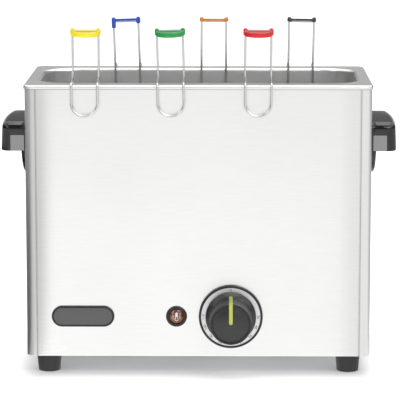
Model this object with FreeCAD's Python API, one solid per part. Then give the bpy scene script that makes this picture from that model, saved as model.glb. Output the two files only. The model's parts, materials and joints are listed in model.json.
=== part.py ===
"""Counter-top egg boiler: a water tank in a sheet steel casing, six lift-out egg holders, a thermostat.

Millimetres, +Z up, the front faces -Y.  The floor is z = 0.  Every piece is drawn about the middle of
the casing, and then moved back by Y_SHIFT, so that the origin is the middle of the whole outer box.
"""
import FreeCAD, Part
import math
import os

Vector = FreeCAD.Vector
X_AXIS = Vector(1, 0, 0)
Y_AXIS = Vector(0, 1, 0)
Z_AXIS = Vector(0, 0, 1)

# ---- driving dimensions -----------------------------------------------------------------------------

# casing
BODY_W = 360.0            # outer width of the casing
BODY_D = 190.0            # outer depth of the casing
BASE_SPACE = 106.0        # underside of the casing to the tank's floor
FOOT_H = 20.0             # floor to the underside of the casing
SHEET = 1.0               # casing sheet
BEND_R = 0.5              # inside radius where the casing turns into its flanges
CORNER_R = 8.0            # outside radius of the upright corners
RETURN_W = 11.0           # how far the side walls turn in across the front
SEAM_GAP = 0.5            # gap between the front panel and each return
FLANGE_W = 8.0            # inward flanges at the top and bottom of the casing
STRIP_T = 1.0             # strips behind the two front seams
STRIP_W = 11.0
SLIP = 0.02               # clearance of pieces that are pushed or screwed together
PLAY = 0.3                # clearance between pieces that only pass each other
VENT_L = 40.0             # slots in the bottom plate
VENT_W = 4.0
VENT_PITCH = 12.0

# tank
RIM_SIDE = 12.5           # side of the casing to the tank's opening
RIM_FRONT = 23.0          # front or rear of the casing to the tank's opening
TANK_R = 35.0             # inside radius of the upright corners
TANK_DEPTH = 180.0        # rim to the tank's floor
TANK_T = 1.0
TANK_FLOOR_R = 12.0       # inside radius between wall and floor
RIM_BEND_R = 2.0          # inside radius where the wall turns out into the rim
LIP_H = 4.0               # height of the turned-down edge of the rim
LIP_PLAY = 0.2            # lip to casing
LIP_BEND_R = 1.0          # inside radius of the lip's bend

# feet
FOOT_SIDE = 22.0          # centre of a foot from the side
FOOT_INSET = 25.0         # centre of a foot from the front or rear face
FOOT_R_TOP = 13.25
FOOT_R_BOTTOM = 11.5
FOOT_EDGE_R = 1.0
FOOT_SCREW_R = 2.5
FOOT_HEAD_R = 4.5
FOOT_HEAD_H = 3.2
FOOT_BORE_R = 5.5         # recess for the screw's head
FOOT_BORE_H = 9.0
NUT_T = 4.0
PAST_NUT = 2.0            # how far a screw or stud stands out of its nut
NUT_ACROSS = 8.0

# handles
HANDLE_L = 110.0
HANDLE_OUT = 30.5         # how far a handle stands out at the middle of its lower edge
HANDLE_BOW = 3.0          # how much less it stands out at its two ends
HANDLE_TAPER = 1.2        # how much less it stands out at its shoulder
HANDLE_BELOW_RIM = 43.0   # top of the rim to the top of the hood
HANDLE_H = 31.0           # height of the hood
HANDLE_SHOULDER_R = 7.0
HANDLE_WALL = 4.5
HANDLE_END_WALL = 5.0
HANDLE_EDGE_R = 2.5
TAB_T = 7.5               # thickness of the plate behind the fingers
TAB_DROP = 29.5           # how far the half-moon tab hangs below the hood
TAB_CHORD = 98.0          # its width at the hood
TAB_EDGE_R = 2.5
END_RECESS = 0.8          # depth of the sunk panel in each end of the hood
END_RECESS_RIM = 3.2
HANDLE_SCREW_Y = 36.0     # screw to the handle's middle
HANDLE_SCREW_DEPTH = 6.0

# controls, on one line across the front
CONTROL_Z = 63.0
BADGE_INSET = 26.6        # left side of the casing to the badge
BADGE_L = 65.6
BADGE_H = 22.0
BADGE_T = 2.4
BADGE_EDGE_R = 0.8
BADGE_RIM_W = 1.1
BADGE_FACE_DEPTH = 0.5
BADGE_PIN_R = 1.5
BADGE_PIN_X = 20.0
BADGE_PIN_L = 5.0
PILOT_LEFT = 56.8         # how far the pilot lamp is to the left of the dial
PILOT_R = 11.0
PILOT_FLANGE_T = 2.4
PILOT_EDGE_R = 1.6
PILOT_NECK_R = 7.9
PILOT_NECK_L = 15.0
PILOT_BORE_R = 6.6
LENS_R = 8.2
LENS_BED = 0.9            # depth of the seat that the lens stands on, in front of the panel
LENS_DOME = 2.6
LENS_SPIGOT_L = 3.0
LAMP_R = 3.2
LAMP_L = 13.0
LAMP_TIP_R = 2.0
LAMP_BASE_IN = 4.0        # how much of the bulb is in its base
LAMP_BASE_L = 6.0
PILOT_NUT_T = 3.5
PILOT_NUT_ACROSS = 20.0
DIAL_X = 34.1             # middle of the casing to the dial
BEZEL_R = 33.4
BEZEL_WALL = 2.4
BEZEL_T = 4.0
BEZEL_FLOOR_T = 2.5
BEZEL_EDGE_R = 1.0
DIAL_T = 0.8
KNOB_GAP = 0.5            # dial to the back of the knob
KNOB_REACH = 42.0         # casing to the front of the knob
SKIRT_R = 26.4
SKIRT_CHAMFER = 0.6
SKIRT_T = 2.6             # straight edge of the skirt
KNOB_NECK_AT = 13.0       # where the skirt's sweep runs out into the barrel
SWEEP_POWER = 2.2         # how quickly the skirt's sweep runs in
BARREL_R = 22.0
BARREL_FRONT_R = 21.6
CAP_R = 20.3
CAP_STEP = 1.4
CAP_EDGE_R = 1.2
KNOB_EDGE_R = 0.8
POINTER_W = 3.9
POINTER_T = 0.8
POINTER_START_R = 22.9    # on the skirt's sweep, from the knob's axis
SHAFT_R = 3.0
SHAFT_FLAT = 1.5          # depth of the flat on the shaft
SHAFT_PLAY = 0.05
KNOB_BORE_L = 24.0
SHAFT_END_GAP = 1.0       # end of the shaft to the end of its bore, in the knob and in the thermostat

# thermostat behind the front panel
THERMO_W = 44.0
THERMO_D = 34.0
THERMO_H = 48.0
THERMO_EDGE_R = 2.0
THERMO_PLATE_T = 2.0
THERMO_PLATE_OVER = 4.0   # how far the plate stands over the case at the top and bottom
THERMO_NECK_R = 5.0
THERMO_NECK_OUT = 0.5     # dish's floor to the end of the neck
THERMO_BORE_L = 20.0
THERMO_SCREW_X = 14.0
SMALL_SCREW_R = 2.0       # the same small screw holds the thermostat, the handles and the bottom plate
SMALL_SCREW_L = 6.5
SMALL_HEAD_R = 3.2
SMALL_HEAD_H = 2.2
THERMO_TAB_W = 6.3
THERMO_TAB_T = 0.8
THERMO_TAB_L = 8.0

# heater under the tank
HEATER_R = 4.2
HEATER_END = 62.5         # end of the tank to where the long runs turn down
HEATER_SIDE = 30.0        # side of the tank to a long run
HEATER_LEG = 20.0         # how far its cold ends turn down
HEATER_BEND_R = 10.0
CLAMP_SPREAD = 0.36       # a clamp bar's place, as a share of half the tank's length
CLAMP_W = 14.0
CLAMP_T = 2.0
CLAMP_OVER = 12.0         # how far a clamp bar runs past the heater
STUD_R = 2.5
STUD_Y = 24.0
PIN_R = 2.0
PIN_L = 9.0

# sensor and cut-out, held against the tank's floor
BULB_R = 3.0
BULB_L = 85.0
BULB_EDGE_R = 1.2
BULB_Y = 10.0
CAPILLARY_R = 0.9
CAPILLARY_BEND_R = 8.0
CAPILLARY_RUN = 10.0      # bulb to where the capillary turns down
CAPILLARY_RISE = 15.0     # its height over the thermostat
CUTOUT_R = 12.0
CUTOUT_T = 4.0
CUTOUT_BODY_R = 8.0
CUTOUT_BODY_H = 11.0
CUTOUT_SPREAD = 0.54      # its place, as a share of half the tank's length

# supply side
GLAND_INSET = 60.0        # side of the casing to the gland
GLAND_Z = 52.0
GLAND_THREAD_R = 10.0
GLAND_BORE_R = 4.6
GLAND_HEX_ACROSS = 24.0
GLAND_FLANGE_T = 5.0
GLAND_REACH = 22.0        # casing to the outer end of the gland
GLAND_CAP_R = 11.0
GLAND_EDGE_R = 4.0
GLAND_THREAD_L = 11.0
GLAND_NUT_T = 5.0
BLOCK_W = 42.0
BLOCK_D = 22.0
BLOCK_H = 18.0
BLOCK_EDGE_R = 1.5
BLOCK_FROM_REAR = 43.0    # rear of the casing to the middle of the block
BLOCK_BESIDE = 60.0       # gland to the middle of the block
BLOCK_POLES = 3
BLOCK_PITCH = 12.0
BLOCK_WIRE_R = 2.0
BLOCK_SCREW_R = 1.9
BLOCK_SCREW_INSET = 5.0
BLOCK_SCREW_SINK = 1.5
EARTH_BESIDE = 20.0       # gland to the earth stud, towards the side
EARTH_Y = 20.0
EARTH_L = 16.0

# inner leads
LEAD_R = 1.2
LEAD_BEND_R = 7.0
LEAD_LOW_Z = 52.0         # height of the leads that run under the heater
LEAD_STEP = 6.0           # spacing of leads that run side by side
LEAD_IN = 8.0             # how far a lead goes into the terminal block

# egg holders: one bent wire, a hook welded to it, two guard rings with a rib, and a moulded grip
WIRE_R = 1.25
UPRIGHT_PITCH = 27.0
HOLDER_PLAY = 0.75        # tank wall to the hook's inner legs
HOOK_INNER_L = 40.0       # how far the hook runs down beside the uprights
HOOK_DROP = 33.0          # rim to the bottom of the hook's outside bow
HOOK_STAND_OFF = 2.0      # rim's lip to the hook's outside bow
HOOK_RISE = 4.5           # how much higher the hook is on the tank side of the rim
HOOK_BEND_R = 3.4
SEAT_Z = 14.0             # tank floor to the wires that the egg stands on
SEAT_BEND_R = 6.0
RING_R = 24.0             # inside radius of a guard ring
LOW_RING_Z = 17.0         # seat wires to each guard ring
HIGH_RING_Z = 40.0
GRIP_Z = 57.0             # rim to the tips of the grip's sockets
GRIP_W = 31.0
GRIP_DEEP = 14.5
GRIP_END_DEEP = 6.0
GRIP_T = 4.2
GRIP_SLOPE = 18.0         # degrees
GRIP_SINK = 1.2           # socket tips above the plate
GRIP_BACK = 2.1           # middle of the uprights to the straight back of the grip
GRIP_EDGE_R = 1.4
SOCKET_R = 2.5
SOCKET_EDGE_R = 2.0
SOCKET_L = 9.5
SOCKET_WIRE_L = 8.0

# colour, place as a share of half the tank's length, row (-1 front, +1 rear), lean in degrees to the right
HOLDERS = (
    ("yellow", -0.701, -1, 0.0),
    ("green", -0.170, -1, -1.2),
    ("red", 0.371, -1, 0.3),
    ("blue", -0.472, 1, -1.9),
    ("orange", 0.092, 1, 0.2),
    ("black", 0.661, 1, 0.9),
)

# ---- derived places ---------------------------------------------------------------------------------

FRONT = -BODY_D / 2
REAR = BODY_D / 2
TANK_L = BODY_W - 2 * RIM_SIDE
TANK_B = BODY_D - 2 * RIM_FRONT
TANK_FLOOR = FOOT_H + BASE_SPACE
TANK_UNDER = TANK_FLOOR - TANK_T
RIM_TOP = TANK_FLOOR + TANK_DEPTH
RIM_UNDER = RIM_TOP - TANK_T
LIP_PROUD = LIP_PLAY + TANK_T
PLATE_LOW = FOOT_H + SHEET
PLATE_TOP = PLATE_LOW + SHEET
PLATE_INSET = SHEET + BEND_R + PLAY
PANEL_BACK = FRONT + SHEET
HANDLE_TOP = RIM_TOP - HANDLE_BELOW_RIM
HANDLE_LOW = HANDLE_TOP - HANDLE_H
BADGE_X = BADGE_INSET + BADGE_L / 2 - BODY_W / 2
PILOT_X = DIAL_X - PILOT_LEFT
HEATER_X = TANK_L / 2 - HEATER_END
HEATER_Y = TANK_B / 2 - HEATER_SIDE
HEATER_Z = TANK_UNDER - HEATER_R
PIN_LOW = HEATER_Z - HEATER_LEG - PIN_L
CLAMP_X = CLAMP_SPREAD * TANK_L / 2
CUTOUT_X = -CUTOUT_SPREAD * TANK_L / 2
GLAND_X = GLAND_INSET - BODY_W / 2
BLOCK_X = GLAND_X + BLOCK_BESIDE
BLOCK_Y = REAR - BLOCK_FROM_REAR
WIRE_HOLE_Z = PLATE_TOP + BLOCK_H / 2
EARTH_X = GLAND_X - EARTH_BESIDE
Y_SHIFT = (KNOB_REACH + POINTER_T - GLAND_REACH) / 2
UPRIGHT_Y = TANK_B / 2 - HOLDER_PLAY - 3 * WIRE_R
HOOK_Y = UPRIGHT_Y + 2 * WIRE_R
SEAT_AT = TANK_FLOOR + SEAT_Z


# ---- small tools ------------------------------------------------------------------------------------

def block(x0, x1, y0, y1, z0, z1):
    """A box between two corners."""
    return Part.makeBox(x1 - x0, y1 - y0, z1 - z0, Vector(x0, y0, z0))


def rod(radius, start, axis, length):
    """A round bar from start along axis."""
    return Part.makeCylinder(radius, length, start, axis)


def rounded_slab(width, depth, radius, z0, z1):
    """A slab about the Z axis with rounded upright corners."""
    slab = block(-width / 2, width / 2, -depth / 2, depth / 2, z0, z1)
    upright = [edge for edge in slab.Edges if abs(edge.tangentAt(edge.FirstParameter).z) > 0.9]
    return slab.makeFillet(radius, upright)


def edges_at(shape, z):
    """The edges of a shape that lie in the level plane at height z."""
    found = []
    for edge in shape.Edges:
        box = edge.BoundBox
        if abs(box.ZMin - z) < 1e-4 and abs(box.ZMax - z) < 1e-4:
            found.append(edge)
    return found


def hexagon(across, start, axis, length, bore=0.0):
    """A hexagonal bar across flats, from start along axis, with a round hole through it."""
    reach = across / math.sqrt(3)
    turns = [k * math.pi / 3 for k in range(7)]
    corners = [Vector(reach * math.cos(turn), reach * math.sin(turn), 0) for turn in turns]
    bar = Part.Face(Part.makePolygon(corners)).extrude(Vector(0, 0, length))
    if bore > 0:
        bar = bar.cut(rod(bore, Vector(0, 0, -1), Z_AXIS, length + 2))
    bar.Placement = FreeCAD.Placement(start, FreeCAD.Rotation(Z_AXIS, axis))
    return bar


def bent_path(points, radii):
    """Straight runs between the points, joined by tangent arcs of the given radii."""
    edges = []
    at = points[0]
    for corner, after, radius in zip(points[1:-1], points[2:], radii):
        into = (corner - at).normalize()
        out = (after - corner).normalize()
        turn = into.getAngle(out)
        cut = radius * math.tan(turn / 2)
        first = corner - into * cut
        last = corner + out * cut
        towards = (out - into).normalize()
        middle = corner + towards * (radius / math.cos(turn / 2) - radius)
        if at.distanceToPoint(first) > 1e-4:
            edges.append(Part.makeLine(at, first))
        edges.append(Part.Arc(first, middle, last).toShape())
        at = last
    edges.append(Part.makeLine(at, points[-1]))
    return Part.Wire(edges)


def bent_wire(points, radii, wire_radius):
    """A round wire or tube bent along a path."""
    path = bent_path(points, radii)
    heading = points[1] - points[0]
    circle = Part.Wire(Part.makeCircle(wire_radius, points[0], heading))
    return path.makePipeShell([circle], True, False)


def profile_solid(points, axis_start):
    """A solid of revolution about Y: points are (radius, y) pairs, closed by the axis."""
    corners = [Vector(radius, y, 0) for radius, y in points]
    corners.append(corners[0])
    face = Part.Face(Part.makePolygon(corners))
    solid = face.revolve(Vector(0, 0, 0), Y_AXIS, 360)
    solid.translate(axis_start)
    return solid


def screw(head_start, axis, shank_radius, shank_length, head_radius, head_height):
    """A pan-head screw: the head ends at head_start, and the shank goes on along axis."""
    head = rod(head_radius, head_start - axis * head_height, axis, head_height)
    return head.fuse(rod(shank_radius, head_start, axis, shank_length)).removeSplitter()


def mirrored(shape):
    """The same shape on the other side of the middle."""
    return shape.mirror(Vector(0, 0, 0), X_AXIS)


def group(solids):
    """Separate solids that share one node."""
    return Part.makeCompound(solids)


# ---- tank and casing --------------------------------------------------------------------------------

def tank():
    """A drawn tank whose wall turns out into a flat rim, with a lip turned down over the casing."""
    outer_w = BODY_W + 2 * LIP_PROUD
    outer_d = BODY_D + 2 * LIP_PROUD
    outer_r = CORNER_R + LIP_PROUD
    rim = rounded_slab(outer_w, outer_d, outer_r, RIM_TOP - LIP_H, RIM_TOP)
    rim = rim.makeFillet(LIP_BEND_R + TANK_T, edges_at(rim, RIM_TOP))
    under = rounded_slab(outer_w - 2 * TANK_T, outer_d - 2 * TANK_T, outer_r - TANK_T,
                         RIM_TOP - LIP_H - 1, RIM_UNDER)
    under = under.makeFillet(LIP_BEND_R, edges_at(under, RIM_UNDER))
    rim = rim.cut(under)
    tub = rounded_slab(TANK_L + 2 * TANK_T, TANK_B + 2 * TANK_T, TANK_R + TANK_T, TANK_UNDER, RIM_UNDER)
    tub = tub.makeFillet(TANK_FLOOR_R + TANK_T, edges_at(tub, TANK_UNDER))
    shell = rim.fuse(tub).removeSplitter()
    neck = []
    for edge in edges_at(shell, RIM_UNDER):
        box = edge.BoundBox
        if max(abs(box.XMin), abs(box.XMax)) < TANK_L / 2 + 2 * TANK_T:
            neck.append(edge)
    shell = shell.makeFillet(RIM_BEND_R, neck)
    inside = rounded_slab(TANK_L, TANK_B, TANK_R, TANK_FLOOR, RIM_TOP + 1)
    inside = inside.makeFillet(TANK_FLOOR_R, edges_at(inside, TANK_FLOOR))
    shell = shell.cut(inside)
    mouth = []
    for edge in edges_at(shell, RIM_TOP):
        box = edge.BoundBox
        if max(abs(box.XMin), abs(box.XMax)) < TANK_L / 2 + TANK_T:
            mouth.append(edge)
    return shell.makeFillet(RIM_BEND_R + TANK_T, mouth)


def casing_shell():
    """The whole casing as one bent sheet: four walls with a flange all round at the top and bottom."""
    outer = rounded_slab(BODY_W, BODY_D, CORNER_R, FOOT_H, RIM_UNDER)
    outer = outer.makeFillet(BEND_R + SHEET, edges_at(outer, FOOT_H) + edges_at(outer, RIM_UNDER))
    inner = rounded_slab(BODY_W - 2 * SHEET, BODY_D - 2 * SHEET, CORNER_R - SHEET,
                         FOOT_H + SHEET, RIM_UNDER - SHEET)
    inner = inner.makeFillet(BEND_R, edges_at(inner, FOOT_H + SHEET) + edges_at(inner, RIM_UNDER - SHEET))
    hole_r = max(CORNER_R - FLANGE_W, SHEET)
    hole = rounded_slab(BODY_W - 2 * FLANGE_W, BODY_D - 2 * FLANGE_W, hole_r, FOOT_H - 1, RIM_UNDER + 1)
    return outer.cut(inner).cut(hole)


def body_wrap():
    """The two sides and the back as one bent sheet, returned a little way across the front."""
    opening = BODY_W / 2 - RETURN_W
    front_cut = block(-opening, opening, FRONT - 1, FRONT + FLANGE_W + PLAY, FOOT_H - 1, RIM_UNDER + 1)
    wrap = casing_shell().cut(front_cut)
    for side in (-1, 1):
        for y, z in handle_screw_places():
            start = Vector(side * (BODY_W / 2 - 2 * SHEET), y, z)
            wrap = wrap.cut(rod(SMALL_SCREW_R + SLIP, start, X_AXIS * side, 4 * SHEET))
    wrap = wrap.cut(rod(GLAND_THREAD_R + PLAY, Vector(GLAND_X, REAR - 2 * SHEET, GLAND_Z), Y_AXIS, 4 * SHEET))
    for x, y in base_screw_places():
        wrap = wrap.cut(rod(SMALL_SCREW_R + SLIP, Vector(x, y, FOOT_H - 1), Z_AXIS, 3 * SHEET))
    return wrap


def front_panel():
    """The flat front, with a flange at the top and bottom and holes for the controls."""
    half = BODY_W / 2 - RETURN_W - SEAM_GAP
    panel = casing_shell().common(block(-half, half, FRONT - 1, FRONT + FLANGE_W, FOOT_H - 1, RIM_UNDER + 1))
    holes = [
        (DIAL_X, THERMO_NECK_R + PLAY),
        (DIAL_X - THERMO_SCREW_X, SMALL_SCREW_R + SLIP),
        (DIAL_X + THERMO_SCREW_X, SMALL_SCREW_R + SLIP),
        (PILOT_X, PILOT_NECK_R + PLAY),
        (BADGE_X - BADGE_PIN_X, BADGE_PIN_R + SLIP),
        (BADGE_X + BADGE_PIN_X, BADGE_PIN_R + SLIP),
    ]
    for x, radius in holes:
        panel = panel.cut(rod(radius, Vector(x, FRONT - 1, CONTROL_Z), Y_AXIS, SHEET + 2))
    return panel


def seam_strips():
    """A flat strip behind each front seam, which joins the panel to the side's return."""
    strips = []
    outer = BODY_W / 2 - CORNER_R
    top = RIM_UNDER - SHEET - BEND_R
    for side in (-1, 1):
        x0, x1 = sorted((side * (outer - STRIP_W), side * outer))
        strips.append(block(x0, x1, PANEL_BACK, PANEL_BACK + STRIP_T, PLATE_TOP + PLAY, top))
    return group(strips)


def base_screw_places():
    """Screws that go up through the casing's bottom flange: two on each side and two at the back."""
    inset = (FLANGE_W + PLATE_INSET) / 2
    places = []
    for side in (-1, 1):
        for y in (-BODY_D / 6, BODY_D / 6):
            places.append((side * (BODY_W / 2 - inset), y))
        places.append((side * BODY_W / 6, REAR - inset))
    return places


def vent_slot(x, y):
    """The cutter for one slot with round ends in the bottom plate."""
    run = (VENT_L - VENT_W) / 2
    slot = block(x - run, x + run, y - VENT_W / 2, y + VENT_W / 2, PLATE_LOW - 1, PLATE_TOP + 1)
    for side in (-1, 1):
        slot = slot.fuse(rod(VENT_W / 2, Vector(x + side * run, y, PLATE_LOW - 1), Z_AXIS, SHEET + 2))
    return slot


def bottom_plate():
    """The floor of the casing, lying on the casing's bottom flanges."""
    corner_r = max(CORNER_R - PLATE_INSET, SHEET)
    plate = rounded_slab(BODY_W - 2 * PLATE_INSET, BODY_D - 2 * PLATE_INSET, corner_r, PLATE_LOW, PLATE_TOP)
    for x, y in foot_places():
        plate = plate.cut(rod(FOOT_SCREW_R + SLIP, Vector(x, y, PLATE_LOW - 1), Z_AXIS, SHEET + 2))
    for x, y in base_screw_places():
        plate = plate.cut(rod(SMALL_SCREW_R + SLIP, Vector(x, y, PLATE_LOW - 1), Z_AXIS, SHEET + 2))
    for x in (-BODY_W / 4, 0.0, BODY_W / 4):
        for row in (-1, 0, 1):
            plate = plate.cut(vent_slot(x, row * VENT_PITCH))
    return plate.cut(rod(STUD_R + SLIP, Vector(EARTH_X, EARTH_Y, PLATE_LOW - 1), Z_AXIS, SHEET + 2))


def small_screws():
    """The casing's small screws: through the bottom flange, into the handles and into the thermostat."""
    places = [(Vector(x, y, FOOT_H), Z_AXIS) for x, y in base_screw_places()]
    for side in (-1, 1):
        places.append((Vector(DIAL_X + side * THERMO_SCREW_X, FRONT, CONTROL_Z), Y_AXIS))
        for y, z in handle_screw_places():
            places.append((Vector(side * (BODY_W / 2 - SHEET), y, z), X_AXIS * side))
    return group([screw(at, axis, SMALL_SCREW_R, SMALL_SCREW_L, SMALL_HEAD_R, SMALL_HEAD_H)
                  for at, axis in places])


# ---- feet -------------------------------------------------------------------------------------------

def foot_places():
    """The middles of the four feet."""
    across = BODY_W / 2 - FOOT_SIDE
    along = BODY_D / 2 - FOOT_INSET
    return [(x, y) for x in (-across, across) for y in (-along, along)]


def feet():
    """Tapered rubber feet with a recess below for the screw."""
    made = []
    for x, y in foot_places():
        foot = Part.makeCone(FOOT_R_BOTTOM, FOOT_R_TOP, PLATE_LOW, Vector(x, y, 0), Z_AXIS)
        foot = foot.makeFillet(FOOT_EDGE_R, edges_at(foot, 0.0))
        foot = foot.cut(rod(FOOT_BORE_R, Vector(x, y, -1), Z_AXIS, FOOT_BORE_H + 1))
        made.append(foot.cut(rod(FOOT_SCREW_R + SLIP, Vector(x, y, 0), Z_AXIS, PLATE_LOW + 1)))
    return group(made)


def foot_screws():
    """One screw up through each foot and the bottom plate."""
    length = PLATE_TOP - FOOT_BORE_H + NUT_T + PAST_NUT
    return group([screw(Vector(x, y, FOOT_BORE_H), Z_AXIS, FOOT_SCREW_R, length, FOOT_HEAD_R, FOOT_HEAD_H)
                  for x, y in foot_places()])


def hex_nuts():
    """The nuts of one size: on the feet's screws, under the clamp bars and on the earth stud."""
    under_bar = HEATER_Z - HEATER_R - CLAMP_T
    places = [(Vector(x, y, PLATE_TOP), Z_AXIS) for x, y in foot_places()]
    places += [(Vector(x, y, under_bar), -Z_AXIS) for x, y in stud_places()]
    places.append((Vector(EARTH_X, EARTH_Y, PLATE_TOP), Z_AXIS))
    return group([hexagon(NUT_ACROSS, at, axis, NUT_T, STUD_R + SLIP) for at, axis in places])


# ---- handles ----------------------------------------------------------------------------------------

def handle_screw_places():
    """The two screws of a handle, as (y, z)."""
    z = (HANDLE_TOP + HANDLE_LOW) / 2
    return [(-HANDLE_SCREW_Y, z), (HANDLE_SCREW_Y, z)]


def handle_right():
    """A hood, bowed outside and open below for the fingers, on a plate that ends in a half-moon tab.

    The bow is an arc of radius (length ** 2 / 4 + bow ** 2) / (2 * bow)."""
    wall = BODY_W / 2
    y0 = -HANDLE_L / 2
    y1 = HANDLE_L / 2
    low_x = wall + HANDLE_OUT
    bow_r = (y1 ** 2 + HANDLE_BOW ** 2) / (2 * HANDLE_BOW)
    hood = Part.makeCone(bow_r, bow_r - HANDLE_TAPER, HANDLE_H, Vector(low_x - bow_r, 0, HANDLE_LOW), Z_AXIS)
    hood = hood.common(block(wall, low_x + 1, y0, y1, HANDLE_LOW, HANDLE_TOP))
    shoulder = [edge for edge in hood.Edges
                if edge.BoundBox.XMin > wall + 0.1 and edge.BoundBox.ZMin > HANDLE_TOP - 0.1]
    hood = hood.makeFillet(HANDLE_SHOULDER_R, shoulder)
    ends = [edge for edge in hood.Edges
            if edge.BoundBox.YLength < 1e-4 and edge.BoundBox.XMax > wall + 0.1
            and edge.BoundBox.ZMax > HANDLE_LOW + 0.1]
    hood = hood.makeFillet(HANDLE_EDGE_R, ends)
    tab_r = (TAB_DROP ** 2 + (TAB_CHORD / 2) ** 2) / (2 * TAB_DROP)
    tab = rod(tab_r, Vector(wall, 0, HANDLE_LOW - TAB_DROP + tab_r), X_AXIS, TAB_T)
    tab = tab.makeFillet(TAB_EDGE_R, [edge for edge in tab.Edges if edge.BoundBox.XMin > wall + 0.1])
    tab = tab.common(block(wall, wall + TAB_T, y0, y1, 0, HANDLE_LOW + HANDLE_WALL))
    handle = hood.fuse(tab).removeSplitter()
    roof_z = HANDLE_TOP - HANDLE_WALL
    under = HANDLE_LOW - TAB_DROP - 1
    hollow = rod(bow_r - HANDLE_WALL, Vector(low_x - bow_r, 0, under), Z_AXIS, roof_z - under)
    hollow = hollow.common(block(wall + TAB_T, low_x, y0 + HANDLE_END_WALL, y1 - HANDLE_END_WALL, under, roof_z))
    roof = [edge for edge in hollow.Edges
            if edge.BoundBox.ZMin > roof_z - 0.1 and edge.BoundBox.XMin > wall + TAB_T + 0.1]
    hollow = hollow.makeFillet(HANDLE_SHOULDER_R - HANDLE_WALL, roof)
    handle = handle.cut(hollow)
    for y, inward in ((y0, 1), (y1, -1)):
        near, far = sorted((y - inward, y + inward * END_RECESS))
        handle = handle.cut(block(wall + END_RECESS_RIM, low_x - HANDLE_BOW - HANDLE_WALL - END_RECESS_RIM,
                                  near, far, HANDLE_LOW - 1, HANDLE_TOP - HANDLE_SHOULDER_R))
    for y, z in handle_screw_places():
        handle = handle.cut(rod(SMALL_SCREW_R + SLIP, Vector(wall - 1, y, z), X_AXIS, HANDLE_SCREW_DEPTH + 1))
    return handle


# ---- badge and pilot lamp ---------------------------------------------------------------------------

def stadium(length, height, y0, y1, x):
    """A slab with half-round ends, standing on the front panel."""
    radius = height / 2
    run = (length - height) / 2
    slab = block(x - run, x + run, y0, y1, CONTROL_Z - radius, CONTROL_Z + radius)
    for side in (-1, 1):
        slab = slab.fuse(rod(radius, Vector(x + side * run, y0, CONTROL_Z), Y_AXIS, y1 - y0))
    return slab.removeSplitter()


def badge_plate():
    """A plain raised plate with a rim and a slightly sunk face, on two pins."""
    plate = stadium(BADGE_L, BADGE_H, FRONT - BADGE_T, FRONT, BADGE_X)
    front = [edge for edge in plate.Edges if edge.BoundBox.YMax < FRONT - BADGE_T + 1e-4]
    plate = plate.makeFillet(BADGE_EDGE_R, front)
    shrink = 2 * (BADGE_RIM_W + BADGE_EDGE_R)
    plate = plate.cut(stadium(BADGE_L - shrink, BADGE_H - shrink,
                              FRONT - BADGE_T - 1, FRONT - BADGE_T + BADGE_FACE_DEPTH, BADGE_X))
    for side in (-1, 1):
        pin = rod(BADGE_PIN_R, Vector(BADGE_X + side * BADGE_PIN_X, FRONT - BADGE_T / 2, CONTROL_Z), Y_AXIS,
                  BADGE_T / 2 + BADGE_PIN_L)
        plate = plate.fuse(pin)
    return plate


def pilot_bezel():
    """A black flange and a neck through the panel, with a seat for the lens."""
    at = Vector(PILOT_X, 0, CONTROL_Z)
    front = FRONT - PILOT_FLANGE_T
    bezel = rod(PILOT_R, at + Y_AXIS * front, Y_AXIS, PILOT_FLANGE_T)
    rim = [edge for edge in bezel.Edges if edge.BoundBox.YMax < front + 1e-4]
    bezel = bezel.makeFillet(PILOT_EDGE_R, rim)
    bezel = bezel.fuse(rod(PILOT_NECK_R, at + Y_AXIS * FRONT, Y_AXIS, PILOT_NECK_L))
    bezel = bezel.cut(rod(LENS_R + SLIP, at + Y_AXIS * (front - 1), Y_AXIS, PILOT_FLANGE_T - LENS_BED + 1))
    return bezel.cut(rod(PILOT_BORE_R, at + Y_AXIS * (front - 1), Y_AXIS, PILOT_FLANGE_T + PILOT_NECK_L + 2))


def pilot_lens():
    """A domed lens with a spigot that clips into the bezel's neck."""
    at = Vector(PILOT_X, 0, CONTROL_Z)
    seat = FRONT - LENS_BED
    dome_r = (LENS_R ** 2 + LENS_DOME ** 2) / (2 * LENS_DOME)
    ball = Part.makeSphere(dome_r, at + Y_AXIS * (seat - LENS_DOME + dome_r))
    lens = ball.common(rod(LENS_R, at + Y_AXIS * (seat - LENS_DOME - 1), Y_AXIS, LENS_DOME + 1))
    lens = lens.fuse(rod(PILOT_BORE_R - SLIP, at + Y_AXIS * seat, Y_AXIS, LENS_SPIGOT_L))
    return lens.removeSplitter()


def pilot_lamp():
    """A small neon bulb in the neck, standing on its two-pin base."""
    at = Vector(PILOT_X, FRONT + LENS_SPIGOT_L, CONTROL_Z)
    bulb = rod(LAMP_R, at, Y_AXIS, LAMP_L)
    bulb = bulb.makeFillet(LAMP_TIP_R, [edge for edge in bulb.Edges if edge.BoundBox.YMax < at.y + 1e-4])
    base = rod(PILOT_BORE_R - SLIP, at + Y_AXIS * (LAMP_L - LAMP_BASE_IN), Y_AXIS, LAMP_BASE_L)
    return bulb.fuse(base).removeSplitter()


def pilot_nut():
    """The nut that draws the bezel against the panel."""
    return hexagon(PILOT_NUT_ACROSS, Vector(PILOT_X, PANEL_BACK, CONTROL_Z), Y_AXIS, PILOT_NUT_T,
                   PILOT_NECK_R + SLIP)


# ---- dial, knob and thermostat ----------------------------------------------------------------------

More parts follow.
